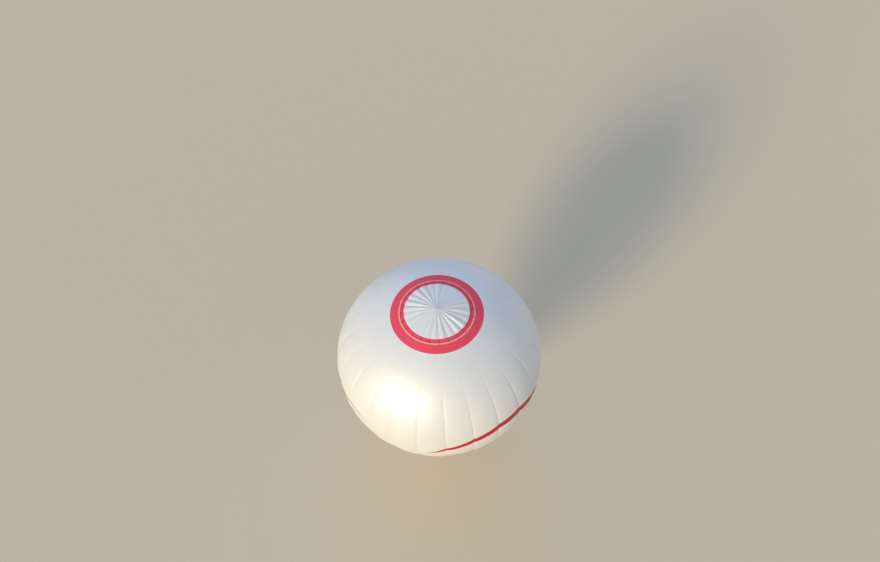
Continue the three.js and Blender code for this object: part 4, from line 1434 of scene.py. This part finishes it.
def makeCan(name, side):
    c = can
    radius, drop = c["radius"], c["footDrop"]
    profile = [(c["foot"], -drop), (c["foot"] + 0.004, -drop + 0.0006), (0.09, -0.0045),
               (radius - 0.006, -0.0005), (radius - 0.001, 0)]
    profile += [(radius, z) for z in sorted(c["rings"] + sum(c["holeRows"], ()))]
    wall = turnOnLathe(profile, sides=c["sides"], isOpen=True)

    def isHole(polygon):
        isRow = any(low + 0.004 < polygon.center.z < high - 0.004 for low, high in c["holeRows"])
        return isRow and abs(polygon.normal.z) < 0.2

    cutHoles(wall, isHole, c["holeRim"], True, c["wall"], -1)
    pieces = [smoothed(wall, 40), addRing(radius - 0.0012, 0.0036, (0, 0, c["height"]), around=80)]
    pieces += [addRing(radius - 0.0008, 0.0024, (0, 0, z), around=80, sides=8) for z in c["beads"]]
    # the lapped seam and its rivets
    lapMiddle = (0, radius + 0.0004, c["height"] / 2 + 0.005)
    pieces.append(addBlock((*c["lap"], c["height"] - 0.03), lapMiddle, 0.001, 1))
    for z in np.arange(*c["rivets"]):
        pieces.append(turnOnLathe(c["rivet"], (0, radius + 0.0014, float(z)), (0, 1, 0), 10))
    piece = setPlace(joinPieces(pieces), (side * burner["offset"], 0, canBottom))
    finishPiece(piece, f"burner_can_{name}_sheet", tintedSteel, "burner", "stainless_steel",
                "burner_can_" + name)


def makeCoil(name, side):
    radius, tube, top = coil["radius"], coil["tube"], coil["pitch"] * coil["turns"]
    freshSelection()
    bpy.ops.mesh.primitive_circle_add(vertices=12, radius=tube, location=(radius, 0, 0),
                                      rotation=(math.pi / 2, 0, 0))
    helix = bpy.context.object
    bpy.ops.object.transform_apply()
    applyModifier(helix, "SCREW", angle=2 * math.pi, screw_offset=coil["pitch"], iterations=coil["turns"],
                  steps=coil["steps"], render_steps=coil["steps"], use_merge_vertices=True)
    tidyMesh(helix, fillsEnds=True)
    inlet = [(radius, 0.002, 0), (radius, -0.03, -0.004), (0.075, -0.035, -0.03), (0.034, -0.018, -0.062),
             (0.034, -0.018, -0.095)]
    outlet = [(radius, -0.002, top), (radius - 0.002, 0.025, top + 0.004), (0.080, 0.034, top - 0.02),
              (0.062, 0.03, 0.03), (0.034, 0.018, -0.05), (0.034, 0.018, -0.095)]
    pieces = [smoothed(helix, 50)]
    pieces += [makePipe(path, tube, 12, bend) for path, bend in zip((inlet, outlet), coil["bends"])]
    # three clips hold the turns apart
    for turn in coil["clips"]:
        x, y, _ = outward(math.radians(turn)) * (radius - 0.011)
        below, above = coil["clipPast"]
        pieces.append(makePipe([(x, y, -below), (x, y, top + above)], coil["clip"], 8))
    piece = setPlace(joinPieces(pieces), (side * burner["offset"], 0, canBottom + coil["rise"]))
    finishPiece(piece, f"burner_coil_{name}_tube", tintedSteel, "burner", "stainless_steel",
                "burner_coil_" + name)


def makeJets(name, side):
    # the jet ring inside the can's foot, with its nozzles, and the pilot light in the middle
    place = Vector((side * burner["offset"], 0, canBottom + 0.002))
    brass = [addRing(*jets["ring"], place)]
    for k in range(jets["count"]):
        out = outward(2 * math.pi * k / jets["count"]) * jets["ring"][0]
        brass.append(turnOnLathe(jets["nozzle"], place + out + Vector((0, 0, 0.004)), sides=10))
    brass.append(turnOnLathe(jets["pilot"], place, sides=20))
    finishPiece(brass, "burner_jets_" + name, machinedBrass, "burner", "brass")


# Valve blocks under the plate, each with its gauge, its blast lever and its pilot's knob. What is turned
# is a profile of (radius, height).
valve = {
    "body": (0.110, 0.096, 0.070), "cover": (0.078, 0.006, 0.052), "coverDrop": 0.036,
    "screws": (0.031, 0.018), "thread": (0.020, 0.0215, 0.0025, 7),
    "inlet": ((0.017, 0), (0.017, -0.004), (0.010, -0.0055), (0, -0.0055)),
    "outlet": ((0.013, 0), (0.013, 0.012), (0.010, 0.014), (0.010, 0.022), (0, 0.022)),
    "stem": ((0.007, 0), (0.007, 0.016), (0, 0.016)),
    "gauge": ((0, 0), (0.026, 0), (0.028, 0.003), (0.028, 0.015), (0.026, 0.018), (0.0235, 0.018),
              (0.0235, 0.0145), (0, 0.0145)),
    "gaugeOut": 0.078, "needle": 0.0008, "dial": (0.023, 0, 0.0006), "screw": (0.009, 0.005),
    "unionNut": (0.060, 0.020), "inletNut": (0.048, 0.014), "outletNut": (0.030, 0.010),
    "knob": ((0, 0), (0.015, 0.001), (0.017, 0.005), (0.017, 0.012), (0.012, 0.016), (0, 0.016)),
    "lever": ((-0.050, 0.050), (-0.085, 0.052), (-0.152, 0.050)), "leverRadius": 0.006,
    "grip": ((0, 0), (0.010, 0), (0.012, 0.003), (0.0105, 0.018), (0.012, 0.03), (0.0105, 0.045),
             (0.0125, 0.058), (0.010, 0.064), (0, 0.065)),
}


def makeValveBlock(name, side):
    v = valve
    top = burner["height"] - burner["thickness"] / 2 - burner["gap"]

    def at(out, y, drop):
        # a place outwards from the block's middle, and below the plate
        return Vector((side * (burner["offset"] + out), y, top - drop))

    brass = [addBlock(v["body"], at(0, 0, v["body"][2] / 2), 0.006, 3)]
    # front and rear covers with their screws
    for face in (-1, 1):
        brass.append(addBlock(v["cover"], at(0, face * 0.050, v["coverDrop"]), 0.0025))
        for dx, dz in fourWays(*v["screws"]):
            place = at(0, face * 0.0545, v["coverDrop"]) + Vector((dx, 0, dz))
            brass.append(addNut(*v["screw"], place, (0, face, 0)))
    # the neck below: union nut, thread and capped inlet
    root, crest, pitch, count = v["thread"]
    thread = [(0, 0), (root, 0)]
    for k in range(count):
        thread += [(crest, -pitch * k - 0.001), (root, -pitch * (k + 1))]
    thread += [(root, -0.022), (0, -0.022)]
    brass += [addNut(*v["unionNut"], at(0, 0, 0.076)), turnOnLathe(thread, at(0, 0, 0.083), sides=28),
              addNut(*v["inletNut"], at(0, 0, 0.108)), turnOnLathe(v["inlet"], at(0, 0, 0.114), sides=24)]
    # the side outlet towards the middle, and the pressure gauge on its stem outwards
    brass += [turnOnLathe(v["outlet"], at(-0.055, 0.012, 0.030), (-side, 0, 0), 24),
              addNut(*v["outletNut"], at(-0.063, 0.012, 0.030), (1, 0, 0)),
              turnOnLathe(v["stem"], at(0.055, -0.02, 0.045), (side, 0, 0), 20),
              turnOnLathe(v["gauge"], at(v["gaugeOut"], -0.02, 0.045), (0, -1, 0), 40)]
    finishPiece(brass, "valve_block_" + name, machinedBrass, "burner", "brass", "burner_valve_block_" + name)
    face = at(v["gaugeOut"], -0.035, 0.045)
    dial = turnOnLathe(discProfile(*v["dial"]), face, (0, -1, 0), 40)
    finishPiece(dial, "gauge_dial_" + name, whiteDial, "burner", "brass")
    needle = makePipe([face + Vector(end) for end in ((0.006, -0.0012, -0.007), (-0.012, -0.0012, 0.012))],
                      v["needle"], 6)
    # the blast lever points to the front, with a rubber grip, and the pilot's knob is beside it
    arm = makePipe([at(0, y, drop) for y, drop in v["lever"]], v["leverRadius"], 12, 0.02)
    finishPiece([arm, needle], "blast_lever_" + name, stainless, "burner", "stainless_steel")
    grip = turnOnLathe(v["grip"], at(0, -0.092, 0.0515), (0, -1, 0.03), 20)
    knob = turnOnLathe(v["knob"], at(-0.025, -0.053, 0.022), (0, -1, 0), 24)
    finishPiece([grip, knob], "lever_grip_" + name, redGrip, "burner", "brass")


makeBurnerBase()
for name, side in (("left", -1), ("right", 1)):
    makeCan(name, side)
    makeCoil(name, side)
    makeJets(name, side)
    makeValveBlock(name, side)
print("gimbal and burner made")


# Uprights: padded sleeves over nylon rods, from the load frame's sockets to the basket's corners
upright = {
    "foot": (0.610, 0.485, -13.640), "topDrop": 0.102, "radius": 0.031, "rows": 120, "sides": 28,
    "pinch": 0.055, "pinchWidth": 0.022, "wrinkle": 0.022, "wrinkleTurns": ((2.2, 60), (2, 95)),
    "seam": 0.05, "seamWidth": 0.10, "endShare": 0.022, "endRound": (0.55, 0.45),
    "rod": 0.0125, "rodFoot": (0.643, 0.518, -14.49), "rodDrop": 0.03, "rodBend": 0.05,
    "strap": 0.0335, "strapThickness": 0.003, "strapHalf": 0.0125, "straps": (0.09, 0.37, 0.63, 0.91),
    "buckle": (0.028, 0.006, 0.030),
}


def sweepTube(centres, outs, ups, radiusAt, sides, isClosed=False):
    # rings of points round a line of centres: outs and ups are a ring's own two directions
    points, faces = [], []
    for i, (centre, out, up) in enumerate(zip(centres, outs, ups)):
        for j in range(sides):
            angle = 2 * math.pi * j / sides
            points.append(centre + (out * math.cos(angle) + up * math.sin(angle)) * radiusAt(i, angle))
    rows = len(centres)
    for i in range(rows if isClosed else rows - 1):
        for j in range(sides):
            k, following = (j + 1) % sides, (i + 1) % rows
            faces.append([i * sides + j, i * sides + k, following * sides + k, following * sides + j])
    if not isClosed:
        faces += [list(range(sides))[::-1], [(rows - 1) * sides + j for j in range(sides)]]
    return smoothed(tidyMesh(addMesh(points, faces)), 60)


def makeUpright(corner, signX, signY):
    u = upright

    def bySign(x, y, z):
        return Vector((signX * x, signY * y, z))

    foot, head = bySign(*u["foot"]), frameCorner(signX, signY, -u["topDrop"])
    along = (head - foot).normalized()
    inward = Vector((-signX, -signY, 0)).normalized()
    inward = (inward - along * inward.dot(along)).normalized()
    aside = along.cross(inward)

    def radiusAt(i, angle):
        share = i / u["rows"]
        fromEnd = min(1.0, min(share, 1 - share) / u["endShare"])
        least, added = u["endRound"]
        rounded = least + added * math.sqrt(1 - (1 - fromEnd) ** 2)
        pinch = sum(math.exp(-((share - strap) / u["pinchWidth"]) ** 2) for strap in u["straps"])
        wrinkle = 1
        for (turns, rings), shift in zip(u["wrinkleTurns"], (signX, signY)):
            wrinkle *= math.sin(turns * angle + rings * share + shift)
        seam = sum(math.exp(-((angle - place * math.pi) / u["seamWidth"]) ** 2) for place in (0.02, 2))
        return u["radius"] * rounded * (1 - u["pinch"] * pinch + u["wrinkle"] * wrinkle - u["seam"] * seam)

    centres = [foot.lerp(head, i / u["rows"]) for i in range(u["rows"] + 1)]
    outs, ups = [inward] * len(centres), [aside] * len(centres)
    sleeve = sweepTube(centres, outs, ups, radiusAt, u["sides"])
    finishPiece(sleeve, "upright_sleeve_" + corner, sleeveCover, "root", "padded_sleeve", "upright_" + corner)
    straps, outer = [], u["strap"]
    profile = tubeProfile(outer - u["strapThickness"], outer, -u["strapHalf"], u["strapHalf"])
    for share in u["straps"]:
        place = foot.lerp(head, share)
        straps.append(turnOnLathe(profile, place, along, 36))
        buckle = addBlock(u["buckle"], bevel=0.002)
        setAxes(buckle, place + inward * (outer + 0.001), aside, inward, -along)
        straps.append(tidyMesh(buckle))
    finishPiece(straps, "upright_straps_" + corner, darkWebbing, "root", "padded_sleeve")
    path = [frameCorner(signX, signY, -u["rodDrop"]), foot.lerp(head, 0.98), foot.lerp(head, 0.04),
            bySign(*u["rodFoot"])]
    rod = makePipe(path, u["rod"], 16, u["rodBend"])
    finishPiece(rod, "upright_rod_" + corner, nylonRod, "root", "padded_sleeve")


for corner, signs in cornerSigns.items():
    makeUpright(corner, *signs)
print("uprights made")


# Basket: willow rods woven over stakes, a padded hide rim, a hide scuff band, and footholes to climb by
basket = {
    "floorTop": -14.54, "halfX": 0.725, "halfY": 0.600, "corner": 0.150, "wall": 0.040, "height": 1.060,
    "waves": 40, "rowPitch": 0.0171, "rows": 62, "rod": 0.0097, "swing": 0.0108, "stake": 0.0078,
    "rodSides": 6, "rodCuts": 6, "bends": 9, "stakeRings": (0.3, 0.37),
}
foothole = {
    "width": 0.200, "height": 0.130, "sill": 0.330, "offset": 0.200, "corner": 0.028, "lining": 0.052,
    "liningThickness": 0.007, "roll": 0.0095,
}
footholeMiddle = basket["floorTop"] + foothole["sill"]
wicker = wickerMaterial(basket["rowPitch"])


def basketLine(inset, height, bends=basket["bends"]):
    # the closed outline of the basket, drawn flat at a height
    corners = rectangle(basket["halfX"] - inset, basket["halfY"] - inset)
    line = drawLine([Vector((x, y, height)) for x, y in corners])
    return roundBends(line, basket["corner"] - inset, bends)


def makeGuide(inset):
    # the outline as a curve to bend a row round, and its length
    line = basketLine(inset, 0)
    around = 0
    for edge in line.data.edges:
        start, end = (line.data.vertices[number].co for number in edge.vertices)
        around += (start - end).length
    return toCurve(line), around


def repeated(unit, step, count, **settings):
    applyModifier(unit, "ARRAY", count=count, use_relative_offset=False, use_constant_offset=True,
                  constant_offset_displace=step, **settings)


def repeatAlong(unit, step, count, guide):
    # a row along X, bent round the basket's outline
    repeated(unit, (step, 0, 0), count, use_merge_vertices=True, merge_threshold=0.0004,
             use_merge_vertices_cap=True)
    applyModifier(unit, "CURVE", object=guide, deform_axis="POS_X")


def cutFootholes(piece):
    # rods that end at a foothole are cut square there and closed
    for polygon in piece.data.polygons:
        centre = polygon.center
        inX = abs(abs(centre.x) - foothole["offset"]) < foothole["width"] / 2
        inWall = abs(centre.y) > basket["halfY"] - 2 * basket["wall"]
        polygon.select = inX and inWall and abs(centre.z - footholeMiddle) < foothole["height"] / 2
    edit(piece, "FACE")
    bpy.ops.mesh.delete(type="FACE")
    fillEnds()
    endEdit()


def makeWeaver(wave, swing):
    # a straight rod one wave long, whose rings swing from one side of the stakes to the other
    bpy.ops.mesh.primitive_cylinder_add(vertices=basket["rodSides"], radius=basket["rod"], depth=wave,
                                        end_fill_type="NOTHING")
    rod = setPlace(bpy.context.object, (wave / 2, 0, 0), (1, 0, 0), math.pi / 2)
    cuts = basket["rodCuts"]
    cutAcross(rod, [(wave * k / cuts, 0, 0) for k in range(1, cuts)], (1, 0, 0))
    for vertex in rod.data.vertices:
        vertex.co.y += swing * math.cos(2 * math.pi * vertex.co.x / wave)
    return rod


def makeWicker():
    b = basket
    guide, around = makeGuide(b["wall"] / 2)
    wave = around / b["waves"]
    firstRow = b["floorTop"] + b["rowPitch"] * 0.55
    layers = []
    for phase, height in ((1, firstRow), (-1, firstRow + b["rowPitch"])):
        weaver = makeWeaver(wave, phase * b["swing"])
        repeatAlong(weaver, wave, b["waves"], guide)
        setPlace(tidyMesh(weaver), (0, 0, height))
        repeated(weaver, (0, 0, 2 * b["rowPitch"]), b["rows"] // 2)
        layers.append(weaver)
    woven = smoothed(joinPieces(layers), 60)
    cutFootholes(woven)
    finishPiece(woven, "basket_wicker", wicker, "root", "wicker", "basket_walls")
    radius, top = b["stake"], b["height"] - 0.01
    rings = [(radius, b["height"] * share) for share in b["stakeRings"]]
    stake = turnOnLathe([(0, 0), (radius, 0), *rings, (radius, top), (0, top)], sides=8)
    repeatAlong(stake, wave / 2, 2 * b["waves"], guide)
    setPlace(stake, (0, 0, b["floorTop"] + 0.004))
    half = foothole["height"] / 2
    cutAcross(stake, [(0, 0, footholeMiddle - half), (0, 0, footholeMiddle + half)], (0, 0, 1))
    cutFootholes(stake)
    finishPiece(smoothed(stake, 60), "basket_stakes", wicker, "root", "wicker")
    bpy.data.objects.remove(guide)


makeWicker()


# Rim: hide over padding, laced every few centimetres
rim = {
    "radius": 0.0445, "height": -13.4344, "laces": 96, "pinch": 0.035, "soft": 0.012, "sides": 24,
    "rowsInLace": 5, "bends": 12, "lace": 0.0032, "laceSteps": 10, "laceSides": 6, "laceSunk": 0.0002,
    "laceFlat": (0.55, 0.45), "tightness": 6, "softTurns": (0.31, 0.083),
}


def rimFrames(count):
    # places and outward directions along the basket's centre line, at even steps
    line = basketLine(basket["wall"] / 2, rim["height"], rim["bends"])
    links = {}
    for edge in line.data.edges:
        a, b = edge.vertices
        links.setdefault(a, []).append(b)
        links.setdefault(b, []).append(a)
    order, here = [], 0
    while here not in order:
        order.append(here)
        here = next((number for number in links[here] if number not in order), here)
    table = np.array([line.data.vertices[number].co[:] for number in order + order[:1]])
    bpy.data.objects.remove(line)
    travelled = np.concatenate([[0], np.cumsum(np.linalg.norm(np.diff(table, axis=0), axis=1))])
    steps = np.linspace(0, travelled[-1], count + 1)[:-1]
    centres = [Vector([np.interp(s, travelled, table[:, axis]) for axis in range(3)]) for s in steps]
    outs = []
    for i, centre in enumerate(centres):
        ahead = centres[(i + 1) % count] - centres[i - 1]
        out = Vector((ahead.y, -ahead.x, 0)).normalized()
        outs.append(out if out.dot(centre) > 0 else -out)
    return centres, outs


def makeRim():
    r = rim
    count = r["laces"] * r["rowsInLace"]
    centres, outs = rimFrames(count)
    up = Vector((0, 0, 1))

    def radiusAt(i, angle):
        tight = math.cos(math.pi * (i % r["rowsInLace"]) / r["rowsInLace"]) ** r["tightness"]
        fast, slow = r["softTurns"]
        soft = math.sin(fast * i + 2 * angle) * math.sin(slow * i + angle)
        return r["radius"] * (1 - r["pinch"] * tight - r["soft"] * (1 - soft))

    roll = sweepTube(centres, outs, [up] * count, radiusAt, r["sides"], isClosed=True)
    finishPiece(roll, "basket_rim_hide", hide, "root", "leather", "basket_rim")
    # one thong wound round the roll, turn after turn
    centres, outs = rimFrames(r["laces"] * r["laceSteps"])
    path, lifts = [], []
    for i, (centre, out) in enumerate(zip(centres, outs)):
        angle = 2 * math.pi * i / r["laceSteps"]
        lifts.append(out * math.cos(angle) + up * math.sin(angle))
        path.append(centre + lifts[-1] * (r["radius"] - r["laceSunk"]))
    ahead = [(path[(i + 1) % len(path)] - path[i - 1]).normalized() for i in range(len(path))]
    sides = [a.cross(lift).normalized() for a, lift in zip(ahead, lifts)]

    def flatAt(i, angle):
        least, added = r["laceFlat"]
        return r["lace"] * (least + added * abs(math.cos(angle)))

    lace = sweepTube(path, sides, lifts, flatAt, r["laceSides"], isClosed=True)
    finishPiece(lace, "basket_rim_lacing", thong, "root", "leather")


makeRim()


# Scuff band with its stitching, and the footholes' linings
trim = {
    "bandHeight": 0.115, "bandThickness": 0.004, "bandBelow": 0.022, "bandGap": 0.0012,
    "stitch": 0.030, "stitchSize": (0.016, 0.004, 0.0035), "stitchRows": (0.012, 0.105),
}


def makeStitches(height):
    guide, around = makeGuide(trim["bandGap"] - trim["bandThickness"])
    count = round(around / trim["stitch"])
    stitch = addBlock(trim["stitchSize"], (trim["stitchSize"][0], 0, 0), 0.0015, 1)
    repeatAlong(stitch, around / count, count, guide)
    bpy.data.objects.remove(guide)
    return setPlace(stitch, (0, 0, height))


def makeTrim():
    low = basket["floorTop"] - trim["bandBelow"]
    line = basketLine(trim["bandGap"], low)
    band = makeStrip(line, (0, 0, trim["bandHeight"]), trim["bandThickness"], 1, 0.0012)
    finishPiece(band, "basket_scuff_band", hide, "root", "leather")
    rows = [makeStitches(low + height) for height in trim["stitchRows"]]
    finishPiece(rows, "scuff_band_stitching", thong, "root", "leather")
    linings, reach = [], foothole["lining"] / 2
    outline = rectangle(foothole["width"] / 2, foothole["height"] / 2)
    for side, end in fourWays(1, 1):
        inWall = basket["halfY"] - basket["wall"] / 2
        middle = Vector((end * foothole["offset"], side * inWall, footholeMiddle))
        line = drawLine([middle + Vector((dx, -reach, dz)) for dx, dz in outline])
        roundBends(line, foothole["corner"])
        linings.append(makeStrip(line, (0, 2 * reach, 0), foothole["liningThickness"], 0, 0.002))
        for y in (0.002 - reach, reach - 0.002):
            edge = [middle + Vector((dx, y, dz)) for dx, dz in outline]
            linings.append(makePipe(edge, foothole["roll"], 12, foothole["corner"]))
    finishPiece(linings, "foothole_linings", hide, "root", "leather")


makeTrim()
print("basket woven, rim and trim made")


# Floor and runners: the floor is the model's own board, the runners are skids with turned-up ends
runner = {
    "half": 0.65, "width": 0.09, "height": 0.04, "offset": 0.38, "slope": 0.05, "rise": 0.022,
    "bolts": (0.52, 5), "boltDrop": 0.016, "bolt": ((0.011, 0), (0.011, 0.002), (0.007, 0.005), (0, 0.006)),
}


def makeRunners():
    r = runner
    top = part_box("runner_front")[1][2]
    middle = top - r["height"] / 2
    for name, side in (("front", -1), ("rear", 1)):
        board = addBlock((2 * r["half"], r["width"], r["height"]), (0, side * r["offset"], middle), 0)
        cutAcross(board, [(end * (r["half"] - r["slope"]), 0, 0) for end in (-1, 1)], (1, 0, 0))
        for vertex in board.data.vertices:
            if abs(vertex.co.x) > r["half"] - 0.001 and vertex.co.z < middle:
                vertex.co.z += r["rise"]
        applyModifier(board, "BEVEL", width=0.005, segments=3, limit_method="ANGLE")
        finishPiece(smoothed(board), "runner_skid_" + name, ashWood, "root", "plywood", "runner_" + name)
        outermost, count = r["bolts"]
        outside = side * (r["offset"] + r["width"] / 2)
        bolts = [turnOnLathe(r["bolt"], (float(x), outside, top - r["boltDrop"]), (0, side, 0), 16)
                 for x in np.linspace(-outermost, outermost, count)]
        finishPiece(bolts, "runner_bolts_" + name, stainless, "root", "stainless_steel")


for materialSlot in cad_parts["basket_floor"].material_slots:
    materialSlot.material = plywood
makeRunners()


# Fuel cylinders: spun aluminium, each with a guard collar, a valve and a level gauge, strapped to the wall
cylinder = {
    "radius": 0.150, "height": 0.780, "insetX": 0.520, "insetY": 0.395, "foot": 0.122, "lift": 0.0003,
    "shoulder": (0.082, 0.078, 74, 9), "collar": 0.108, "collarWall": 0.004, "collarBead": 0.0045,
    "collarRings": (0.742, 0.772, 0.80, 0.845, 0.868), "handHoles": (0.805, 0.84, 30, 60),
    "strapHeights": (0.22, 0.56), "strapHalf": 0.025, "buckle": (0.034, 0.031), "gauge": (-0.045, 0.045),
    "buckleBar": 0.0035, "buckleBend": 0.008, "prong": 0.003,
}
# what sits on a cylinder's top: a turned part is a profile of (radius, height)
fittings = {
    "valve": ((0.024, 0), (0.024, 0.012), (0.017, 0.016), (0.017, 0.03), (0.010, 0.034), (0.006, 0.036),
              (0.006, 0.048), (0, 0.048)),
    "outlet": ((0.012, 0), (0.012, 0.03), (0.016, 0.032), (0.016, 0.05), (0.013, 0.052), (0.013, 0.06),
               (0.009, 0.061), (0, 0.061)),
    "outletAlong": (1, 0, 0.15),
    "gauge": ((0.020, 0), (0.020, 0.006), (0.026, 0.008), (0.026, 0.020), (0.023, 0.022), (0.021, 0.020),
              (0, 0.020)),
    "wheel": (0.019, 0.0042), "wheelHeight": 0.073, "spokes": 3, "spoke": 0.003,
    "bodyNut": (0.060, 0.016), "outletNut": (0.034, 0.012), "dial": (0.020, 0, 0.0008),
    "hub": ((0.0075, -0.004), (0.0085, 0), (0.0075, 0.005), (0, 0.006)),
}


def makeCylinderBody():
    c = cylinder
    r, h, foot = c["radius"], c["height"], c["foot"]
    low, rise, steepest, count = c["shoulder"]
    shoulder = [(r * math.cos(t) * 0.62 + r * 0.38 * math.cos(t) ** 0.6, h - low + rise * math.sin(t))
                for t in np.radians(np.linspace(0, steepest, count))]
    base = [(0, 0.022), (foot - 0.012, 0.012), (foot - 0.006, 0.002), (foot, 0.0), (foot + 0.003, 0.004),
            (foot + 0.004, 0.03), (r * 0.94, 0.045), (r * 0.99, 0.062), (r, 0.08)]
    bead = [(r, 0.383), (r + 0.0022, 0.387), (r + 0.0022, 0.393), (r, 0.397)]
    top = [(0.034, h + 0.001), (0.034, h + 0.012), (0.030, h + 0.014), (0, h + 0.014)]
    tank = turnOnLathe(base + bead + shoulder + top, sides=64)
    collar = turnOnLathe([(c["collar"], z) for z in c["collarRings"]], sides=48, isOpen=True)

    def isHandHole(polygon):
        holeLow, holeHigh, left, right = c["handHoles"]
        azimuth = math.degrees(math.atan2(polygon.center.y, polygon.center.x)) % 90
        return holeLow < polygon.center.z < holeHigh and left < azimuth < right

    cutHoles(collar, isHandHole, 0.003, False, c["collarWall"], 0)
    bead = addRing(c["collar"], c["collarBead"], (0, 0, c["collarRings"][-1] - 0.002), around=64, sides=10)
    return joinPieces([tank, smoothed(collar, 45), bead])


def makeCylinderValves():
    f, h = fittings, cylinder["height"]
    gaugeX, gaugeY = cylinder["gauge"]
    brass = [addNut(*f["bodyNut"], (0, 0, h + 0.018)),
             turnOnLathe(f["valve"], (0, 0, h + 0.026), sides=28),
             turnOnLathe(f["outlet"], (0.012, 0, h + 0.040), f["outletAlong"], 24),
             addNut(*f["outletNut"], (0.05, 0, h + 0.046), f["outletAlong"]),
             turnOnLathe(f["gauge"], (gaugeX, gaugeY, h - 0.003))]
    hub = Vector((0, 0, h + f["wheelHeight"]))
    wheel = [addRing(*f["wheel"], hub, around=32, sides=10)]
    for k in range(f["spokes"]):
        spoke = outward(2 * math.pi * k / f["spokes"]) * f["wheel"][0]
        wheel.append(makePipe([hub, hub + spoke], f["spoke"], 8))
    wheel.append(turnOnLathe(f["hub"], hub, sides=16))
    dial = turnOnLathe(discProfile(*f["dial"]), (gaugeX, gaugeY, h + 0.0172))
    return joinPieces(brass), joinPieces(wheel), dial


def makeCylinderStraps():
    r, half = cylinder["radius"], cylinder["strapHalf"]
    wide, high = cylinder["buckle"]
    section = [(0.0005, -half), (0.0035, -half), (0.004, 0), (0.0035, half), (0.0005, half), (0.0005, -half)]
    straps, buckles = [], []
    for height in cylinder["strapHeights"]:
        straps.append(turnOnLathe([(r + out, z) for out, z in section], (0, 0, height), sides=64))
        outline = [(x, r + 0.007, height + z) for x, z in rectangle(wide, high)]
        buckles.append(makePipe(outline, cylinder["buckleBar"], 8, cylinder["buckleBend"]))
        prong = [(0, r + 0.008, height - high), (0, r + 0.009, height + high + 0.003)]
        buckles.append(makePipe(prong, cylinder["prong"], 8))
    return joinPieces(straps), joinPieces(buckles)


def makeCylinders():
    body = makeCylinderBody()
    brass, wheel, dial = makeCylinderValves()
    straps, buckles = makeCylinderStraps()
    kinds = (
        (body, "fuel_cylinder_shell", spunAluminium, "aluminium", "fuel_cylinder"),
        (brass, "cylinder_valves", machinedBrass, "brass", None),
        (wheel, "cylinder_handwheel", redGrip, "brass", None),
        (dial, "cylinder_level_dial", whiteDial, "brass", None),
        (straps, "cylinder_straps", darkWebbing, "padded_sleeve", None),
        (buckles, "strap_buckles", stainless, "stainless_steel", None),
    )
    for corner, (signX, signY) in cornerSigns.items():
        height = basket["floorTop"] + cylinder["lift"]
        place = (signX * cylinder["insetX"], signY * cylinder["insetY"], height)
        # each cylinder is turned so that its buckles and valve face the middle of the basket
        turn = math.atan2(-signY * 0.75, -signX) - math.pi / 2
        for source, name, material, slot, node in kinds:
            made = copyPiece(source, place, turn)
            nodes = [f"{node}_{corner}"] if node else []
            finishPiece(made, f"{name}_{corner}", material, "root", slot, *nodes)
    for source, *_ in kinds:
        bpy.data.objects.remove(source)


makeCylinders()
print("floor, runners and fuel cylinders made")
